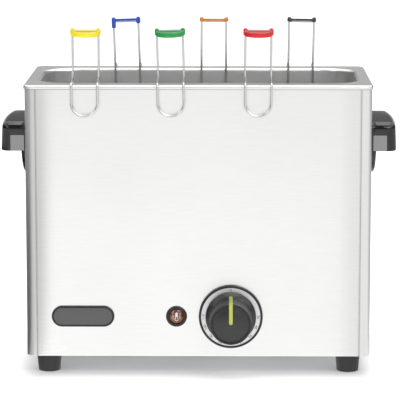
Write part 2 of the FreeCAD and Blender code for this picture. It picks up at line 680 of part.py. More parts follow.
def dial_bezel():
    """A black dish that carries the dial and covers the thermostat's screws."""
    at = Vector(DIAL_X, 0, CONTROL_Z)
    front = FRONT - BEZEL_T
    dish = rod(BEZEL_R, at + Y_AXIS * front, Y_AXIS, BEZEL_T)
    dish = dish.makeFillet(BEZEL_EDGE_R, [edge for edge in dish.Edges if edge.BoundBox.YMax < front + 1e-4])
    dish = dish.cut(rod(BEZEL_R - BEZEL_WALL, at + Y_AXIS * (front - 1), Y_AXIS, BEZEL_T - BEZEL_FLOOR_T + 1))
    dish = dish.cut(rod(THERMO_NECK_R + PLAY, at + Y_AXIS * (front - 1), Y_AXIS, BEZEL_T + 2))
    for side in (-1, 1):
        screw_at = at + X_AXIS * (side * THERMO_SCREW_X)
        dish = dish.cut(rod(SMALL_HEAD_R + PLAY, screw_at + Y_AXIS * (front - 1), Y_AXIS, BEZEL_T + 2))
    return dish


def dial_plate():
    """A thin silver disc with the scale on it, in the dish."""
    at = Vector(DIAL_X, FRONT - BEZEL_FLOOR_T - DIAL_T, CONTROL_Z)
    disc = rod(BEZEL_R - BEZEL_WALL - SLIP, at, Y_AXIS, DIAL_T)
    return disc.cut(rod(THERMO_NECK_R + PLAY, at - Y_AXIS, Y_AXIS, DIAL_T + 2))


def knob_back():
    """Where the back of the knob is along the depth."""
    return FRONT - BEZEL_FLOOR_T - DIAL_T - KNOB_GAP


def knob_profile():
    """Half of the knob's section as (radius, distance from its back), from the skirt to the cap."""
    length = KNOB_REACH - (FRONT - knob_back())
    points = [(SKIRT_R - SKIRT_CHAMFER, 0.0), (SKIRT_R, SKIRT_CHAMFER), (SKIRT_R, SKIRT_T)]
    steps = 10
    for k in range(1, steps + 1):
        share = k / steps
        sweep = (1 - share) ** SWEEP_POWER
        points.append((BARREL_R + (SKIRT_R - BARREL_R) * sweep, SKIRT_T + (KNOB_NECK_AT - SKIRT_T) * share))
    shoulder = length - CAP_STEP
    points.append((BARREL_FRONT_R, shoulder - KNOB_EDGE_R))
    points.append((BARREL_FRONT_R - KNOB_EDGE_R, shoulder))
    points.append((CAP_R, shoulder))
    points.append((CAP_R, length - CAP_EDGE_R))
    bevel = CAP_EDGE_R * (1 - math.cos(math.pi / 4))
    points.append((CAP_R - bevel, length - bevel))
    points.append((CAP_R - CAP_EDGE_R, length))
    return points


def d_bar(radius, flat, start, length):
    """A round bar along -Y with one flat on its upper side."""
    bar = rod(radius, start, -Y_AXIS, length)
    top = start.z + radius
    cutter = block(start.x - 2 * radius, start.x + 2 * radius, start.y - length - 1, start.y + 1,
                   top - flat, top + radius)
    return bar.cut(cutter)


def knob_blank():
    """The knob before its bore is made."""
    back = knob_back()
    outline = [(0.0, back)]
    outline += [(radius, back - along) for radius, along in knob_profile()]
    outline.append((0.0, FRONT - KNOB_REACH))
    return profile_solid(outline, Vector(DIAL_X, 0, CONTROL_Z))


def knob():
    """A turned knob with a D-shaped bore."""
    start = Vector(DIAL_X, knob_back() + 1, CONTROL_Z)
    return knob_blank().cut(d_bar(SHAFT_R + SLIP, SHAFT_FLAT, start, KNOB_BORE_L + 1))


def knob_pointer():
    """A strip let along the top of the knob, from the skirt over the cap to its middle."""
    back = knob_back()
    length = KNOB_REACH - (FRONT - back)
    start_along = SKIRT_T
    for radius, along in knob_profile():
        if radius > POINTER_START_R:
            start_along = along
    corners = [Vector(0, back - start_along, BARREL_R - 2 * POINTER_T)]
    for radius, along in knob_profile():
        if along >= start_along and radius < CAP_R - CAP_EDGE_R + 0.01:
            break
        if along >= start_along and radius >= CAP_R:
            corners.append(Vector(0, back - along, radius + POINTER_T))
    tip = length + POINTER_T
    corners.append(Vector(0, back - tip + POINTER_T, CAP_R + POINTER_T))
    corners.append(Vector(0, back - tip, CAP_R - CAP_EDGE_R))
    corners.append(Vector(0, back - tip, 0))
    corners.append(Vector(0, back - length + 2 * POINTER_T, 0))
    corners.append(Vector(0, back - length + 2 * POINTER_T, BARREL_R - 2 * POINTER_T))
    corners.append(corners[0])
    strip = Part.Face(Part.makePolygon(corners)).extrude(Vector(POINTER_W, 0, 0))
    strip.translate(Vector(DIAL_X - POINTER_W / 2, 0, CONTROL_Z))
    return strip.cut(knob_blank())


def thermostat_shaft():
    """The spindle: it turns in the thermostat's neck, and the knob is pushed on its D end."""
    inner = PANEL_BACK + THERMO_BORE_L - SHAFT_END_GAP
    outer = knob_back() - KNOB_BORE_L + SHAFT_END_GAP
    neck_front = FRONT - BEZEL_FLOOR_T
    at = Vector(DIAL_X, inner, CONTROL_Z)
    round_end = rod(SHAFT_R, at, -Y_AXIS, inner - neck_front)
    d_end = d_bar(SHAFT_R, SHAFT_FLAT, Vector(DIAL_X, neck_front, CONTROL_Z), neck_front - outer)
    return round_end.fuse(d_end)


def thermo_case_top():
    """The top of the thermostat's case, a little below the top of its plate."""
    return CONTROL_Z + THERMO_H / 2 - THERMO_PLATE_OVER


def thermostat_body():
    """The switch: a mounting plate with a neck, a case behind it and flat terminals on its back."""
    x0 = DIAL_X - THERMO_W / 2
    x1 = DIAL_X + THERMO_W / 2
    case_front = PANEL_BACK + THERMO_PLATE_T
    case_back = PANEL_BACK + THERMO_D
    case = block(x0, x1, case_front, case_back, 2 * CONTROL_Z - thermo_case_top(), thermo_case_top())
    case = case.makeFillet(THERMO_EDGE_R, [edge for edge in case.Edges if edge.BoundBox.YLength > 1])
    plate = block(x0, x1, PANEL_BACK, case_front, CONTROL_Z - THERMO_H / 2, CONTROL_Z + THERMO_H / 2)
    at = Vector(DIAL_X, FRONT - BEZEL_FLOOR_T + THERMO_NECK_OUT, CONTROL_Z)
    body = case.fuse(plate).fuse(rod(THERMO_NECK_R, at, Y_AXIS, case_front - at.y))
    for side in (-1, 1):
        x = DIAL_X + side * THERMO_W / 4
        body = body.fuse(block(x - THERMO_TAB_W / 2, x + THERMO_TAB_W / 2,
                               case_back - 1, case_back + THERMO_TAB_L,
                               CONTROL_Z - THERMO_TAB_T / 2, CONTROL_Z + THERMO_TAB_T / 2))
        screw_at = Vector(DIAL_X + side * THERMO_SCREW_X, PANEL_BACK - 1, CONTROL_Z)
        body = body.cut(rod(SMALL_SCREW_R + SLIP, screw_at, Y_AXIS, SMALL_SCREW_L + 1))
    bore_at = Vector(DIAL_X, PANEL_BACK + THERMO_BORE_L, CONTROL_Z)
    return body.cut(rod(SHAFT_R + SHAFT_PLAY, bore_at, -Y_AXIS, THERMO_BORE_L + 2 * BEZEL_T))


def sensor_bulb():
    """The bulb of the thermostat, lying against the tank's floor."""
    start = Vector(DIAL_X - BULB_L, BULB_Y, TANK_UNDER - BULB_R)
    bulb = rod(BULB_R, start, X_AXIS, BULB_L)
    return bulb.makeFillet(BULB_EDGE_R, [edge for edge in bulb.Edges if edge.BoundBox.XLength < 1e-4])


def capillary():
    """The thin tube from the thermostat's case to the bulb, passing under the heater."""
    top = thermo_case_top()
    x = DIAL_X + CAPILLARY_RUN
    y = PANEL_BACK + THERMO_D / 2
    bulb_z = TANK_UNDER - BULB_R
    points = [Vector(x, y, top), Vector(x, y, top + CAPILLARY_RISE), Vector(x, BULB_Y, top + CAPILLARY_RISE),
              Vector(x, BULB_Y, bulb_z), Vector(DIAL_X, BULB_Y, bulb_z)]
    return bent_wire(points, [CAPILLARY_BEND_R] * 3, CAPILLARY_R)


# ---- heater -----------------------------------------------------------------------------------------

def heating_element():
    """A sheathed tube pressed against the tank's floor: two long runs, a half-round turn and two legs."""
    turn_x = -HEATER_X - HEATER_Y
    leg_z = HEATER_Z - HEATER_LEG
    points = [Vector(HEATER_X, -HEATER_Y, leg_z), Vector(HEATER_X, -HEATER_Y, HEATER_Z),
              Vector(turn_x, -HEATER_Y, HEATER_Z), Vector(turn_x, HEATER_Y, HEATER_Z),
              Vector(HEATER_X, HEATER_Y, HEATER_Z), Vector(HEATER_X, HEATER_Y, leg_z)]
    return bent_wire(points, [HEATER_BEND_R, HEATER_Y, HEATER_Y, HEATER_BEND_R], HEATER_R)


def element_pins():
    """The threaded pins at the heater's cold ends."""
    return group([rod(PIN_R, Vector(HEATER_X, side * HEATER_Y, PIN_LOW), Z_AXIS, PIN_L) for side in (-1, 1)])


def stud_places():
    """The middles of the clamp studs."""
    return [(x, y) for x in (-CLAMP_X, CLAMP_X) for y in (-STUD_Y, STUD_Y)]


def clamp_bars():
    """Two flat bars across the heater's runs."""
    top = HEATER_Z - HEATER_R
    reach = HEATER_Y + CLAMP_OVER
    bars = []
    for x in (-CLAMP_X, CLAMP_X):
        bar = block(x - CLAMP_W / 2, x + CLAMP_W / 2, -reach, reach, top - CLAMP_T, top)
        for y in (-STUD_Y, STUD_Y):
            bar = bar.cut(rod(STUD_R + SLIP, Vector(x, y, top - CLAMP_T - 1), Z_AXIS, CLAMP_T + 2))
        bars.append(bar)
    return group(bars)


def clamp_studs():
    """Studs welded to the tank's floor."""
    length = 2 * HEATER_R + CLAMP_T + NUT_T + PAST_NUT
    return group([rod(STUD_R, Vector(x, y, TANK_UNDER), -Z_AXIS, length) for x, y in stud_places()])


def cutout_low():
    """The height of the ends of the cut-out's terminals."""
    return TANK_UNDER - CUTOUT_BODY_H - THERMO_TAB_L


def safety_cutout():
    """A disc thermostat that cuts the heater off if the tank boils dry."""
    top = Vector(CUTOUT_X, 0, TANK_UNDER)
    body = rod(CUTOUT_R, top, -Z_AXIS, CUTOUT_T).fuse(rod(CUTOUT_BODY_R, top, -Z_AXIS, CUTOUT_BODY_H))
    for side in (-1, 1):
        x = CUTOUT_X + side * CUTOUT_BODY_R / 2
        body = body.fuse(block(x - THERMO_TAB_T / 2, x + THERMO_TAB_T / 2,
                               -THERMO_TAB_W / 2, THERMO_TAB_W / 2,
                               cutout_low(), TANK_UNDER - CUTOUT_BODY_H + 1))
    return body.removeSplitter()


# ---- supply -----------------------------------------------------------------------------------------

def cable_gland():
    """A gland through the back: thread, hexagon, and a domed cap round the cable's bore."""
    at = Vector(GLAND_X, REAR, GLAND_Z)
    body = rod(GLAND_THREAD_R, at - Y_AXIS * GLAND_THREAD_L, Y_AXIS, GLAND_THREAD_L)
    body = body.fuse(hexagon(GLAND_HEX_ACROSS, at, Y_AXIS, GLAND_FLANGE_T))
    cap = rod(GLAND_CAP_R, at, Y_AXIS, GLAND_REACH)
    end = [edge for edge in cap.Edges if edge.BoundBox.YMin > REAR + GLAND_REACH - 1e-4]
    cap = cap.makeFillet(GLAND_EDGE_R, end)
    body = body.fuse(cap).removeSplitter()
    return body.cut(rod(GLAND_BORE_R, at - Y_AXIS * (GLAND_THREAD_L + 1), Y_AXIS,
                        GLAND_THREAD_L + GLAND_REACH + 2))


def gland_nut():
    """The lock nut inside the back."""
    start = Vector(GLAND_X, REAR - SHEET, GLAND_Z)
    return hexagon(GLAND_HEX_ACROSS, start, -Y_AXIS, GLAND_NUT_T, GLAND_THREAD_R + SLIP)


def pole_places():
    """The poles of the terminal block, along its length."""
    return [BLOCK_X + (k - (BLOCK_POLES - 1) / 2) * BLOCK_PITCH for k in range(BLOCK_POLES)]


def well_places():
    """The middles of the screw wells, two for each pole."""
    rows = (BLOCK_Y - BLOCK_D / 2 + BLOCK_SCREW_INSET, BLOCK_Y + BLOCK_D / 2 - BLOCK_SCREW_INSET)
    return [(x, y) for x in pole_places() for y in rows]


def terminal_block():
    """A moulded block with a wire hole and two screw wells for each pole."""
    x0 = BLOCK_X - BLOCK_W / 2
    y0 = BLOCK_Y - BLOCK_D / 2
    top = PLATE_TOP + BLOCK_H
    body = block(x0, x0 + BLOCK_W, y0, y0 + BLOCK_D, PLATE_TOP, top)
    body = body.makeFillet(BLOCK_EDGE_R, edges_at(body, top))
    for x in pole_places():
        body = body.cut(rod(BLOCK_WIRE_R, Vector(x, y0 - 1, WIRE_HOLE_Z), Y_AXIS, BLOCK_D + 2))
    for x, y in well_places():
        body = body.cut(rod(BLOCK_SCREW_R + SLIP, Vector(x, y, WIRE_HOLE_Z), Z_AXIS, BLOCK_H))
    return body


def terminal_screws():
    """The clamping screws in the block's wells, down to the leads."""
    top = PLATE_TOP + BLOCK_H - BLOCK_SCREW_SINK
    length = top - WIRE_HOLE_Z - LEAD_R
    return group([rod(BLOCK_SCREW_R, Vector(x, y, top), -Z_AXIS, length) for x, y in well_places()])


def earth_stud():
    """The earth screw through the bottom plate."""
    return screw(Vector(EARTH_X, EARTH_Y, PLATE_LOW), Z_AXIS, STUD_R, EARTH_L, FOOT_HEAD_R, SHEET)


def lead(points):
    """One insulated lead, with the same bend at each corner."""
    return bent_wire(points, [LEAD_BEND_R] * (len(points) - 2), LEAD_R)


def power_leads():
    """Block to thermostat, thermostat to cut-out, cut-out to heater, heater to block."""
    neutral_pole = pole_places()[1]
    live_pole = pole_places()[-1]
    block_front = BLOCK_Y - BLOCK_D / 2
    into_block = block_front + LEAD_IN
    tab_y = PANEL_BACK + THERMO_D + THERMO_TAB_L
    tab_in = DIAL_X - THERMO_W / 4
    tab_out = DIAL_X + THERMO_W / 4
    clear = 3 * LEAD_BEND_R
    z = LEAD_LOW_Z
    to_thermostat = [
        Vector(live_pole, into_block, WIRE_HOLE_Z), Vector(live_pole, block_front - clear, WIRE_HOLE_Z),
        Vector(tab_in, block_front - clear, WIRE_HOLE_Z), Vector(tab_in, tab_y + clear, WIRE_HOLE_Z),
        Vector(tab_in, tab_y + clear, CONTROL_Z), Vector(tab_in, tab_y, CONTROL_Z)]
    cut_x = CUTOUT_X + CUTOUT_BODY_R / 2
    to_cutout = [
        Vector(tab_out, tab_y, CONTROL_Z), Vector(tab_out, tab_y + 2 * clear, CONTROL_Z),
        Vector(tab_out, tab_y + 2 * clear, CONTROL_Z + clear), Vector(cut_x, 0, CONTROL_Z + clear),
        Vector(cut_x, 0, cutout_low())]
    cut_x = CUTOUT_X - CUTOUT_BODY_R / 2
    to_heater = [
        Vector(cut_x, 0, cutout_low()), Vector(cut_x, 0, z), Vector(cut_x, -HEATER_Y, z),
        Vector(HEATER_X, -HEATER_Y, z), Vector(HEATER_X, -HEATER_Y, PIN_LOW)]
    from_heater = [
        Vector(HEATER_X, HEATER_Y, PIN_LOW), Vector(HEATER_X, HEATER_Y, z),
        Vector(neutral_pole, block_front - clear + LEAD_STEP, z),
        Vector(neutral_pole, block_front - clear + LEAD_STEP, WIRE_HOLE_Z),
        Vector(neutral_pole, into_block, WIRE_HOLE_Z)]
    return group([lead(route) for route in (to_thermostat, to_cutout, to_heater, from_heater)])


def earth_lead():
    """Block to the nut on the earth stud."""
    earth_pole = pole_places()[0]
    block_front = BLOCK_Y - BLOCK_D / 2
    over_nut = PLATE_TOP + NUT_T + LEAD_R
    points = [
        Vector(earth_pole, block_front + LEAD_IN, WIRE_HOLE_Z), Vector(earth_pole, EARTH_Y, WIRE_HOLE_Z),
        Vector(EARTH_X + 3 * LEAD_BEND_R, EARTH_Y, over_nut),
        Vector(EARTH_X + STUD_R + SLIP, EARTH_Y, over_nut)]
    return lead(points)


# ---- egg holders ------------------------------------------------------------------------------------
# A holder is drawn for the front row about x = 0, with its hook over the front rim.

def ring_middle():
    """Where the guard rings' middle is: each ring touches the inner side of both uprights."""
    reach = RING_R + 3 * WIRE_R
    return -UPRIGHT_Y + math.sqrt(reach ** 2 - (UPRIGHT_PITCH / 2) ** 2)


def holder_frame():
    """One wire: down, forward under the egg, round, back and up to the other side of the grip."""
    half = UPRIGHT_PITCH / 2
    top = RIM_TOP + GRIP_Z - SOCKET_L + SOCKET_WIRE_L
    end_y = ring_middle() + RING_R + WIRE_R
    points = [
        Vector(-half, -UPRIGHT_Y, top), Vector(-half, -UPRIGHT_Y, SEAT_AT), Vector(-half, end_y, SEAT_AT),
        Vector(half, end_y, SEAT_AT), Vector(half, -UPRIGHT_Y, SEAT_AT), Vector(half, -UPRIGHT_Y, top)]
    return bent_wire(points, [SEAT_BEND_R, half, half, SEAT_BEND_R], WIRE_R)


def holder_hook():
    """A second wire beside the uprights, over the rim and down outside in a bow."""
    half = UPRIGHT_PITCH / 2
    outside = -(BODY_D / 2 + LIP_PROUD + HOOK_STAND_OFF + WIRE_R)
    over = RIM_TOP + PLAY + WIRE_R
    low = RIM_TOP - HOOK_INNER_L
    bow = RIM_TOP - HOOK_DROP + WIRE_R
    inside_top = over + HOOK_RISE
    points = [
        Vector(-half, -HOOK_Y, low), Vector(-half, -HOOK_Y, inside_top), Vector(-half, outside, over),
        Vector(-half, outside, bow), Vector(half, outside, bow), Vector(half, outside, over),
        Vector(half, -HOOK_Y, inside_top), Vector(half, -HOOK_Y, low)]
    return bent_wire(points, [HOOK_BEND_R, HOOK_BEND_R, half, half, HOOK_BEND_R, HOOK_BEND_R], WIRE_R)


def holder_cradle():
    """Two guard rings round the egg, and a rib from the seat up to the top ring."""
    middle = ring_middle()
    solids = []
    for height in (LOW_RING_Z, HIGH_RING_Z):
        solids.append(Part.makeTorus(RING_R + WIRE_R, WIRE_R, Vector(0, middle, SEAT_AT + height)))
    rib_y = middle + RING_R + 3 * WIRE_R
    low = SEAT_AT - WIRE_R
    solids.append(rod(WIRE_R, Vector(0, rib_y, low), Z_AXIS, HIGH_RING_Z + 2 * WIRE_R))
    return group(solids)


def holder_grip():
    """A half-moon tab that slopes down and out, with a socket for each end of the wire."""
    half = GRIP_W / 2
    bulge = GRIP_DEEP - GRIP_END_DEEP
    tip = RIM_TOP + GRIP_Z
    side = Vector(half, -GRIP_END_DEEP, 0)
    outline = Part.Wire([
        Part.makeLine(Vector(-half, GRIP_BACK, 0), Vector(half, GRIP_BACK, 0)),
        Part.makeLine(Vector(half, GRIP_BACK, 0), side),
        Part.Arc(side, Vector(0, -GRIP_END_DEEP - bulge, 0), Vector(-half, -GRIP_END_DEEP, 0)).toShape(),
        Part.makeLine(Vector(-half, -GRIP_END_DEEP, 0), Vector(-half, GRIP_BACK, 0)),
    ])
    plate = Part.Face(outline).extrude(Vector(0, 0, GRIP_T))
    plate = plate.makeFillet(GRIP_EDGE_R, plate.Edges)
    plate.rotate(Vector(0, 0, GRIP_T), X_AXIS, GRIP_SLOPE)
    plate.translate(Vector(0, -UPRIGHT_Y, tip - GRIP_SINK - GRIP_T))
    grip = plate
    for x in (-UPRIGHT_PITCH / 2, UPRIGHT_PITCH / 2):
        socket = rod(SOCKET_R, Vector(x, -UPRIGHT_Y, tip - SOCKET_L), Z_AXIS, SOCKET_L)
        socket = socket.makeFillet(SOCKET_EDGE_R, edges_at(socket, tip))
        grip = grip.fuse(socket)
    for x in (-UPRIGHT_PITCH / 2, UPRIGHT_PITCH / 2):
        grip = grip.cut(rod(WIRE_R + SLIP, Vector(x, -UPRIGHT_Y, tip - SOCKET_L - 1), Z_AXIS,
                            SOCKET_WIRE_L + 1 + SLIP))
    return grip


def placed_holder(shape, x, row, lean):
    """A holder's piece at its place: turned round for the rear row, and leaning on the rim."""
    made = shape.copy()
    if row > 0:
        made.rotate(Vector(0, 0, 0), Z_AXIS, 180)
    made.rotate(Vector(0, 0, RIM_TOP), Y_AXIS, lean)
    made.translate(Vector(x, 0, 0))
    return made


# ---- everything -------------------------------------------------------------------------------------

def all_pieces():
    """Every node's name with its shape, about the middle of the casing."""
    right = handle_right()
    pieces = {
        "tank": tank(),
        "body_wrap": body_wrap(),
        "front_panel": front_panel(),
        "seam_strips": seam_strips(),
        "bottom_plate": bottom_plate(),
        "small_screws": small_screws(),
        "feet": feet(),
        "foot_screws": foot_screws(),
        "hex_nuts": hex_nuts(),
        "handle_right": right,
        "handle_left": mirrored(right),
        "badge_plate": badge_plate(),
        "pilot_bezel": pilot_bezel(),
        "pilot_lens": pilot_lens(),
        "pilot_lamp": pilot_lamp(),
        "pilot_nut": pilot_nut(),
        "dial_bezel": dial_bezel(),
        "dial_plate": dial_plate(),
        "knob": knob(),
        "knob_pointer": knob_pointer(),
        "thermostat_shaft": thermostat_shaft(),
        "thermostat_body": thermostat_body(),
        "sensor_bulb": sensor_bulb(),
        "capillary": capillary(),
        "heating_element": heating_element(),
        "element_pins": element_pins(),
        "clamp_bars": clamp_bars(),
        "clamp_studs": clamp_studs(),
        "safety_cutout": safety_cutout(),
        "cable_gland": cable_gland(),
        "gland_nut": gland_nut(),
        "terminal_block": terminal_block(),
        "terminal_screws": terminal_screws(),
        "earth_stud": earth_stud(),
        "power_leads": power_leads(),
        "earth_lead": earth_lead(),
    }
    parts_of_holder = {
        "frame": holder_frame(),
        "hook": holder_hook(),
        "cradle": holder_cradle(),
        "grip": holder_grip(),
    }
    for colour, share, row, lean in HOLDERS:
        for name, shape in parts_of_holder.items():
            pieces["holder_" + colour + "_" + name] = placed_holder(shape, share * TANK_L / 2, row, lean)
    return pieces


def main():
    """Write each node's STEP file."""
    os.makedirs("parts", exist_ok=True)
    for name, shape in all_pieces().items():
        moved = shape.copy()
        moved.translate(Vector(0, Y_SHIFT, 0))
        moved.exportStep("parts/" + name + ".step")


main()
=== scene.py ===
"""Counter-top egg boiler: the finish of every surface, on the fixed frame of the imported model.

Metres, +Z up, the front faces -Y.  Overall sizes and places come from the frame's own boxes where a box gives
them, and the rest are named values below.
"""
import json
import math

import bmesh
import bpy
import numpy as np
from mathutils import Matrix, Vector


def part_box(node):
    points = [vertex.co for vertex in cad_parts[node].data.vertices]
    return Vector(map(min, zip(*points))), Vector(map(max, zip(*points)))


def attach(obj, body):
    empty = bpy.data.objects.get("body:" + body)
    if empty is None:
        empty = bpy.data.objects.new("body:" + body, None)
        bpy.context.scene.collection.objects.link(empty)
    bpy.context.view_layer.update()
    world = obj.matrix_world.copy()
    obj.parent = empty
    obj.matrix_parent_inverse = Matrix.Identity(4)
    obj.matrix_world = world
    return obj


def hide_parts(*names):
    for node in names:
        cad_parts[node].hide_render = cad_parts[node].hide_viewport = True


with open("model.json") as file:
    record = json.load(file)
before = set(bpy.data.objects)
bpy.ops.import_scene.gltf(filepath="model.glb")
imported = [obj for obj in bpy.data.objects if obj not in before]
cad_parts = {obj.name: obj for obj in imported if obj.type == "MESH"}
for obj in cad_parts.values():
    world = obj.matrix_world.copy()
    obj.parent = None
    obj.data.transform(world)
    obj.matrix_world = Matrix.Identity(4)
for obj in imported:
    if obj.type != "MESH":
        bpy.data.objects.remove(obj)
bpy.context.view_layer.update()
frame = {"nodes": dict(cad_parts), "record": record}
NODES = frame["nodes"]
SCENE = bpy.context.scene
MM = 0.001
SEAM_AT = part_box("front_panel")[1][0]

# ---- camera and studio ----

CAMERA_AT = (0.0266, -2.5246, 0.586)
CAMERA_PITCH = 80.7  # degrees up from straight down
CAMERA_YAW = 0.58  # degrees to the left
CAMERA_LENS = 214.2  # millimetres on a 36 mm sensor

WORLD_ON_MATT = 0.48  # the white room as matt surfaces receive it
FLOOR_HALF = 6.0
FLOOR_LIFT = 0.12  # light that the floor adds for the camera under the casing
FLOOR_FAR_LIFT = 0.9  # and well away from it, where the floor is plain white
FLOOR_CORE = (0.175, 0.095)  # half the casing's width and depth, about
FLOOR_CLEAR = (-0.025, 0.058)  # metres outside FLOOR_CORE over which it goes from one to the other
FLOOR_STRIP = 0.15  # half the width in front and behind that reflections see as straight ahead
# degrees from straight in front (left is negative) and the room's tone there, as polished surfaces see it
ROOM_TONES = (
    (-180, 0.85), (-160, 0.60), (-140, 0.20), (-110, 0.12), (-74, 0.12), (-64, 0.24), (-56, 0.48),
    (-48, 0.60), (-34, 0.58), (-28, 0.66), (-22, 0.96), (-16, 1.18), (-8, 1.22), (0, 1.18), (8, 1.05),
    (20, 0.95), (32, 0.92), (50, 0.95), (70, 1.0), (88, 0.95), (104, 0.72), (125, 0.50), (150, 0.50),
    (168, 0.75), (180, 0.85),
)
ROOM_LOW = 0.0  # sine of the height over the horizon up to which the room keeps its tone
ROOM_HIGH = 0.11  # and from which it is darker
ROOM_DARK = 0.22  # share of the tone left above that
TOP_BOX = 1.3  # a soft box overhead and behind, as polished surfaces see it
TOP_BOX_LOW = (0.40, 0.46)  # sines of the heights at which it begins behind
TOP_BOX_FRONT = (-0.45, -0.35)  # and how far over the top it reaches
SIDE_BOX = 1.6  # another in front to the right
SIDE_BOX_AT = (0.16, 0.22, 0.48, 0.54)  # sines of its heights
SIDE_BOX_X = (0.06, 0.14, 0.55, 0.65)  # how far it is to the right
SIDE_BOX_Y = (0.0, -0.1)  # and in front
FAR_FLOOR = (1.95, 2.2)  # metres out, where the floor's tone in reflections evens out
FAR_TONES = (0.95, 0.45)  # in front, and behind
FAR_TURN = (0.0, 0.6)  # shares of the way behind over which it goes from one to the other
# name, place, the point it faces, width and height in metres, and watts
LAMPS = (
    ("key", (-1.4, -1.7, 1.4), (0.0, 0.0, 0.15), (1.2, 1.2), 9.0),
    ("fill", (1.7, -1.2, 1.2), (0.0, 0.0, 0.15), (1.0, 1.0), 4.0),
    ("overhead", (0.2, -0.1, 2.0), (0.0, 0.0, 0.2), (1.4, 1.4), 11.0),
    ("strip", (0.75, -1.5, 1.45), (0.1, 0.0, 0.15), (1.1, 0.35), 7.0),
)


# ---- sizes of the pieces, in millimetres ----

WELD = 1e-6  # metres
STREAK_L = 22.0  # length of the belt's streaks in the front and the sides
STREAK_PITCH = 0.6
ROLL_FROM = 146.0  # where the front starts to fall back towards its folded corners
ROLL_TO = 165.0  # and from where it does so evenly
ROLL_SLOPE = 0.25  # the even slope
SEAM_SOFT = (0.5, 1.9)  # painted shade along the joint, millimetres from its middle
SKIRT_R = 26.4
SKIRT_T = 2.6
SWEEP_POWER = 2.2
NECK_AT = 13.0  # where the skirt's sweep ends
BARREL_R = 22.0
BARREL_FRONT_R = 21.6
BARREL_FRONT_L = 8.0  # knob's front to where the barrel has that radius
CAP_R = 19.1
CAP_STEP = 1.4  # knob's front to the barrel's shoulder
CAP_DOME = 2.4
CAP_EDGE_W = 3.0  # cap's side to where the dome begins
CAP_EDGE_DROP = 0.4
CAP_EDGE_R = 0.8
KNOB_EDGE_R = 0.6
GROOVE_W = 1.1  # groove round the cap
GROOVE_DEPTH = 1.8
GROOVE_EDGE_R = 0.3
SHAFT_R = 3.02  # bore for the spindle
KNOB_BORE_L = 24.0
POINTER_W = 3.9
POINTER_T = 0.8
POINTER_FROM = 0.52  # share of the sweep at which it begins
POINTER_START = 0.8  # length of its softened beginning
BADGE_RIM_W = 2.0
BADGE_SUNK = 0.7
BADGE_FACE_T = 0.3
LENS_DOME = 2.6
LENS_SPIGOT_R = 6.58
LENS_EDGE = 0.25  # flat edge round the dome
PICTO_STEM = 0.95  # half-width of the drawn thermometer's stem
PICTO_BULB = 1.7
PICTO_DROP = 2.6  # lens's middle down to the bulb's
PICTO_RISE = 3.4
PICTO_LINE = 0.5
PICTO_FILL = 1.5  # width of the column in the stem
PICTO_MARKS_X = (-4.3, -3.0, 3.0, 4.3)  # rows of scale marks beside the thermometer
PICTO_MARKS_Z = (-2.2, 3.0)
PRINT_T = 0.05  # raised ink
NUMBER_H = 2.9
NUMBER_RADIUS = 28.8
NUMBER_TO_TYPE = 1.4  # type size over the height of its figures
SCALE_FROM = 90.0  # degrees clockwise from the top to the number 30
SCALE_STEP = 22.5
HOOD_H = 31.0
HOOD_TAPER = 1.2  # how much less the hood stands out at its shoulder
HOOD_BOW = 3.0  # how much less it stands out at its ends than in the middle
HOOD_WALL = 4.5
HOOD_END = 5.0
SHOULDER_R = 7.0
HOOD_EDGE_R = 1.2  # its lower edge
HOLLOW_R = 2.0  # the smallest rounding of the shoulder, and the hollow's inner corner
CROWN = 0.8  # how much lower its top is at its ends
HOOD_ROUND = 7.5  # rounding of its ends, over the top and round the outer side
TAB_T = 7.5
TAB_DROP = 29.5
TAB_CHORD = 98.0
TAB_EDGE_R = 2.5
TAB_TUCK = 3.0  # how far it goes up inside the hood
INLAY_RIM = 3.2
INLAY_W = 15.5
INLAY_DOWN = 14.0  # top of the hood to the inlay's
INLAY_SINK = 0.8  # depth of its recess
INLAY_R = 0.8  # corners of its recess
INLAY_FACE = 0.4  # depth of its own face
INLAY_PLAY = 0.08  # share by which it is smaller than its recess
INLAY_UP = 0.3  # over the hood's lower edge
EDGE_SOFT = 0.3  # bevel on the handles' edges
GRIP_W = 31.0
GRIP_DEEP = 14.5
GRIP_END_DEEP = 6.0
GRIP_BACK = 2.1
GRIP_T = 3.4
LIP_T = {-1: 6.8, 1: 4.4}  # the rolled lip, hanging below the tab, on the front and rear holders
LIP_FROM = 0.1  # shares of half the tab's depth: its middle to where the lip begins
LIP_RUN = 0.65  # and from there to its full thickness
GRIP_MOON_POWER = 0.8  # how quickly the curved front edge runs out
GRIP_END_POWER = 14  # and how suddenly the ends are rounded
GRIP_SECTION = (0.5, 0.6)  # powers of cosine and sine that draw its softened section
GRIP_DISH = 0.8
GRIP_SLOPE = 8.0
GRIP_SINK = 1.4
GRIP_VOXEL = 0.32
GRIP_RELAX = 7  # times that its joints are smoothed
SOCKET_R = 2.4
SOCKET_EDGE_R = 0.5
WIRE_PITCH = 27.0
UPRIGHT_Y = 67.5  # middle of the casing to the holders' uprights
GRIP_Z = 57.0  # rim to the sockets' tips
RIM_TOP = 306.0
MIDDLE_Y = 10.4  # middle of the casing
RIM_LIP_H = 4.0  # top of the rim to its lip's lower edge
SHADE_BEAD_H = 0.5  # dark bead under the rim's lip, a painted shadow line
SHADE_BEAD_OUT = 0.7
CORNER_R = 8.0  # casing's upright corners
# colour, place to the right of the middle, row (-1 front, 1 rear), lean in degrees, the two sockets' lengths
HOLDERS = (
    ("yellow", -117.42, -1, 0.0, (7.5, 7.5)), ("green", -28.48, -1, -1.2, (7.5, 7.5)),
    ("red", 62.14, -1, 0.3, (7.5, 7.5)), ("blue", -79.06, 1, -1.9, (12.0, 7.5)),
    ("orange", 15.41, 1, 0.2, (5.0, 5.0)), ("black", 110.72, 1, 0.9, (5.5, 5.5)),
)


# ---- small tools ----

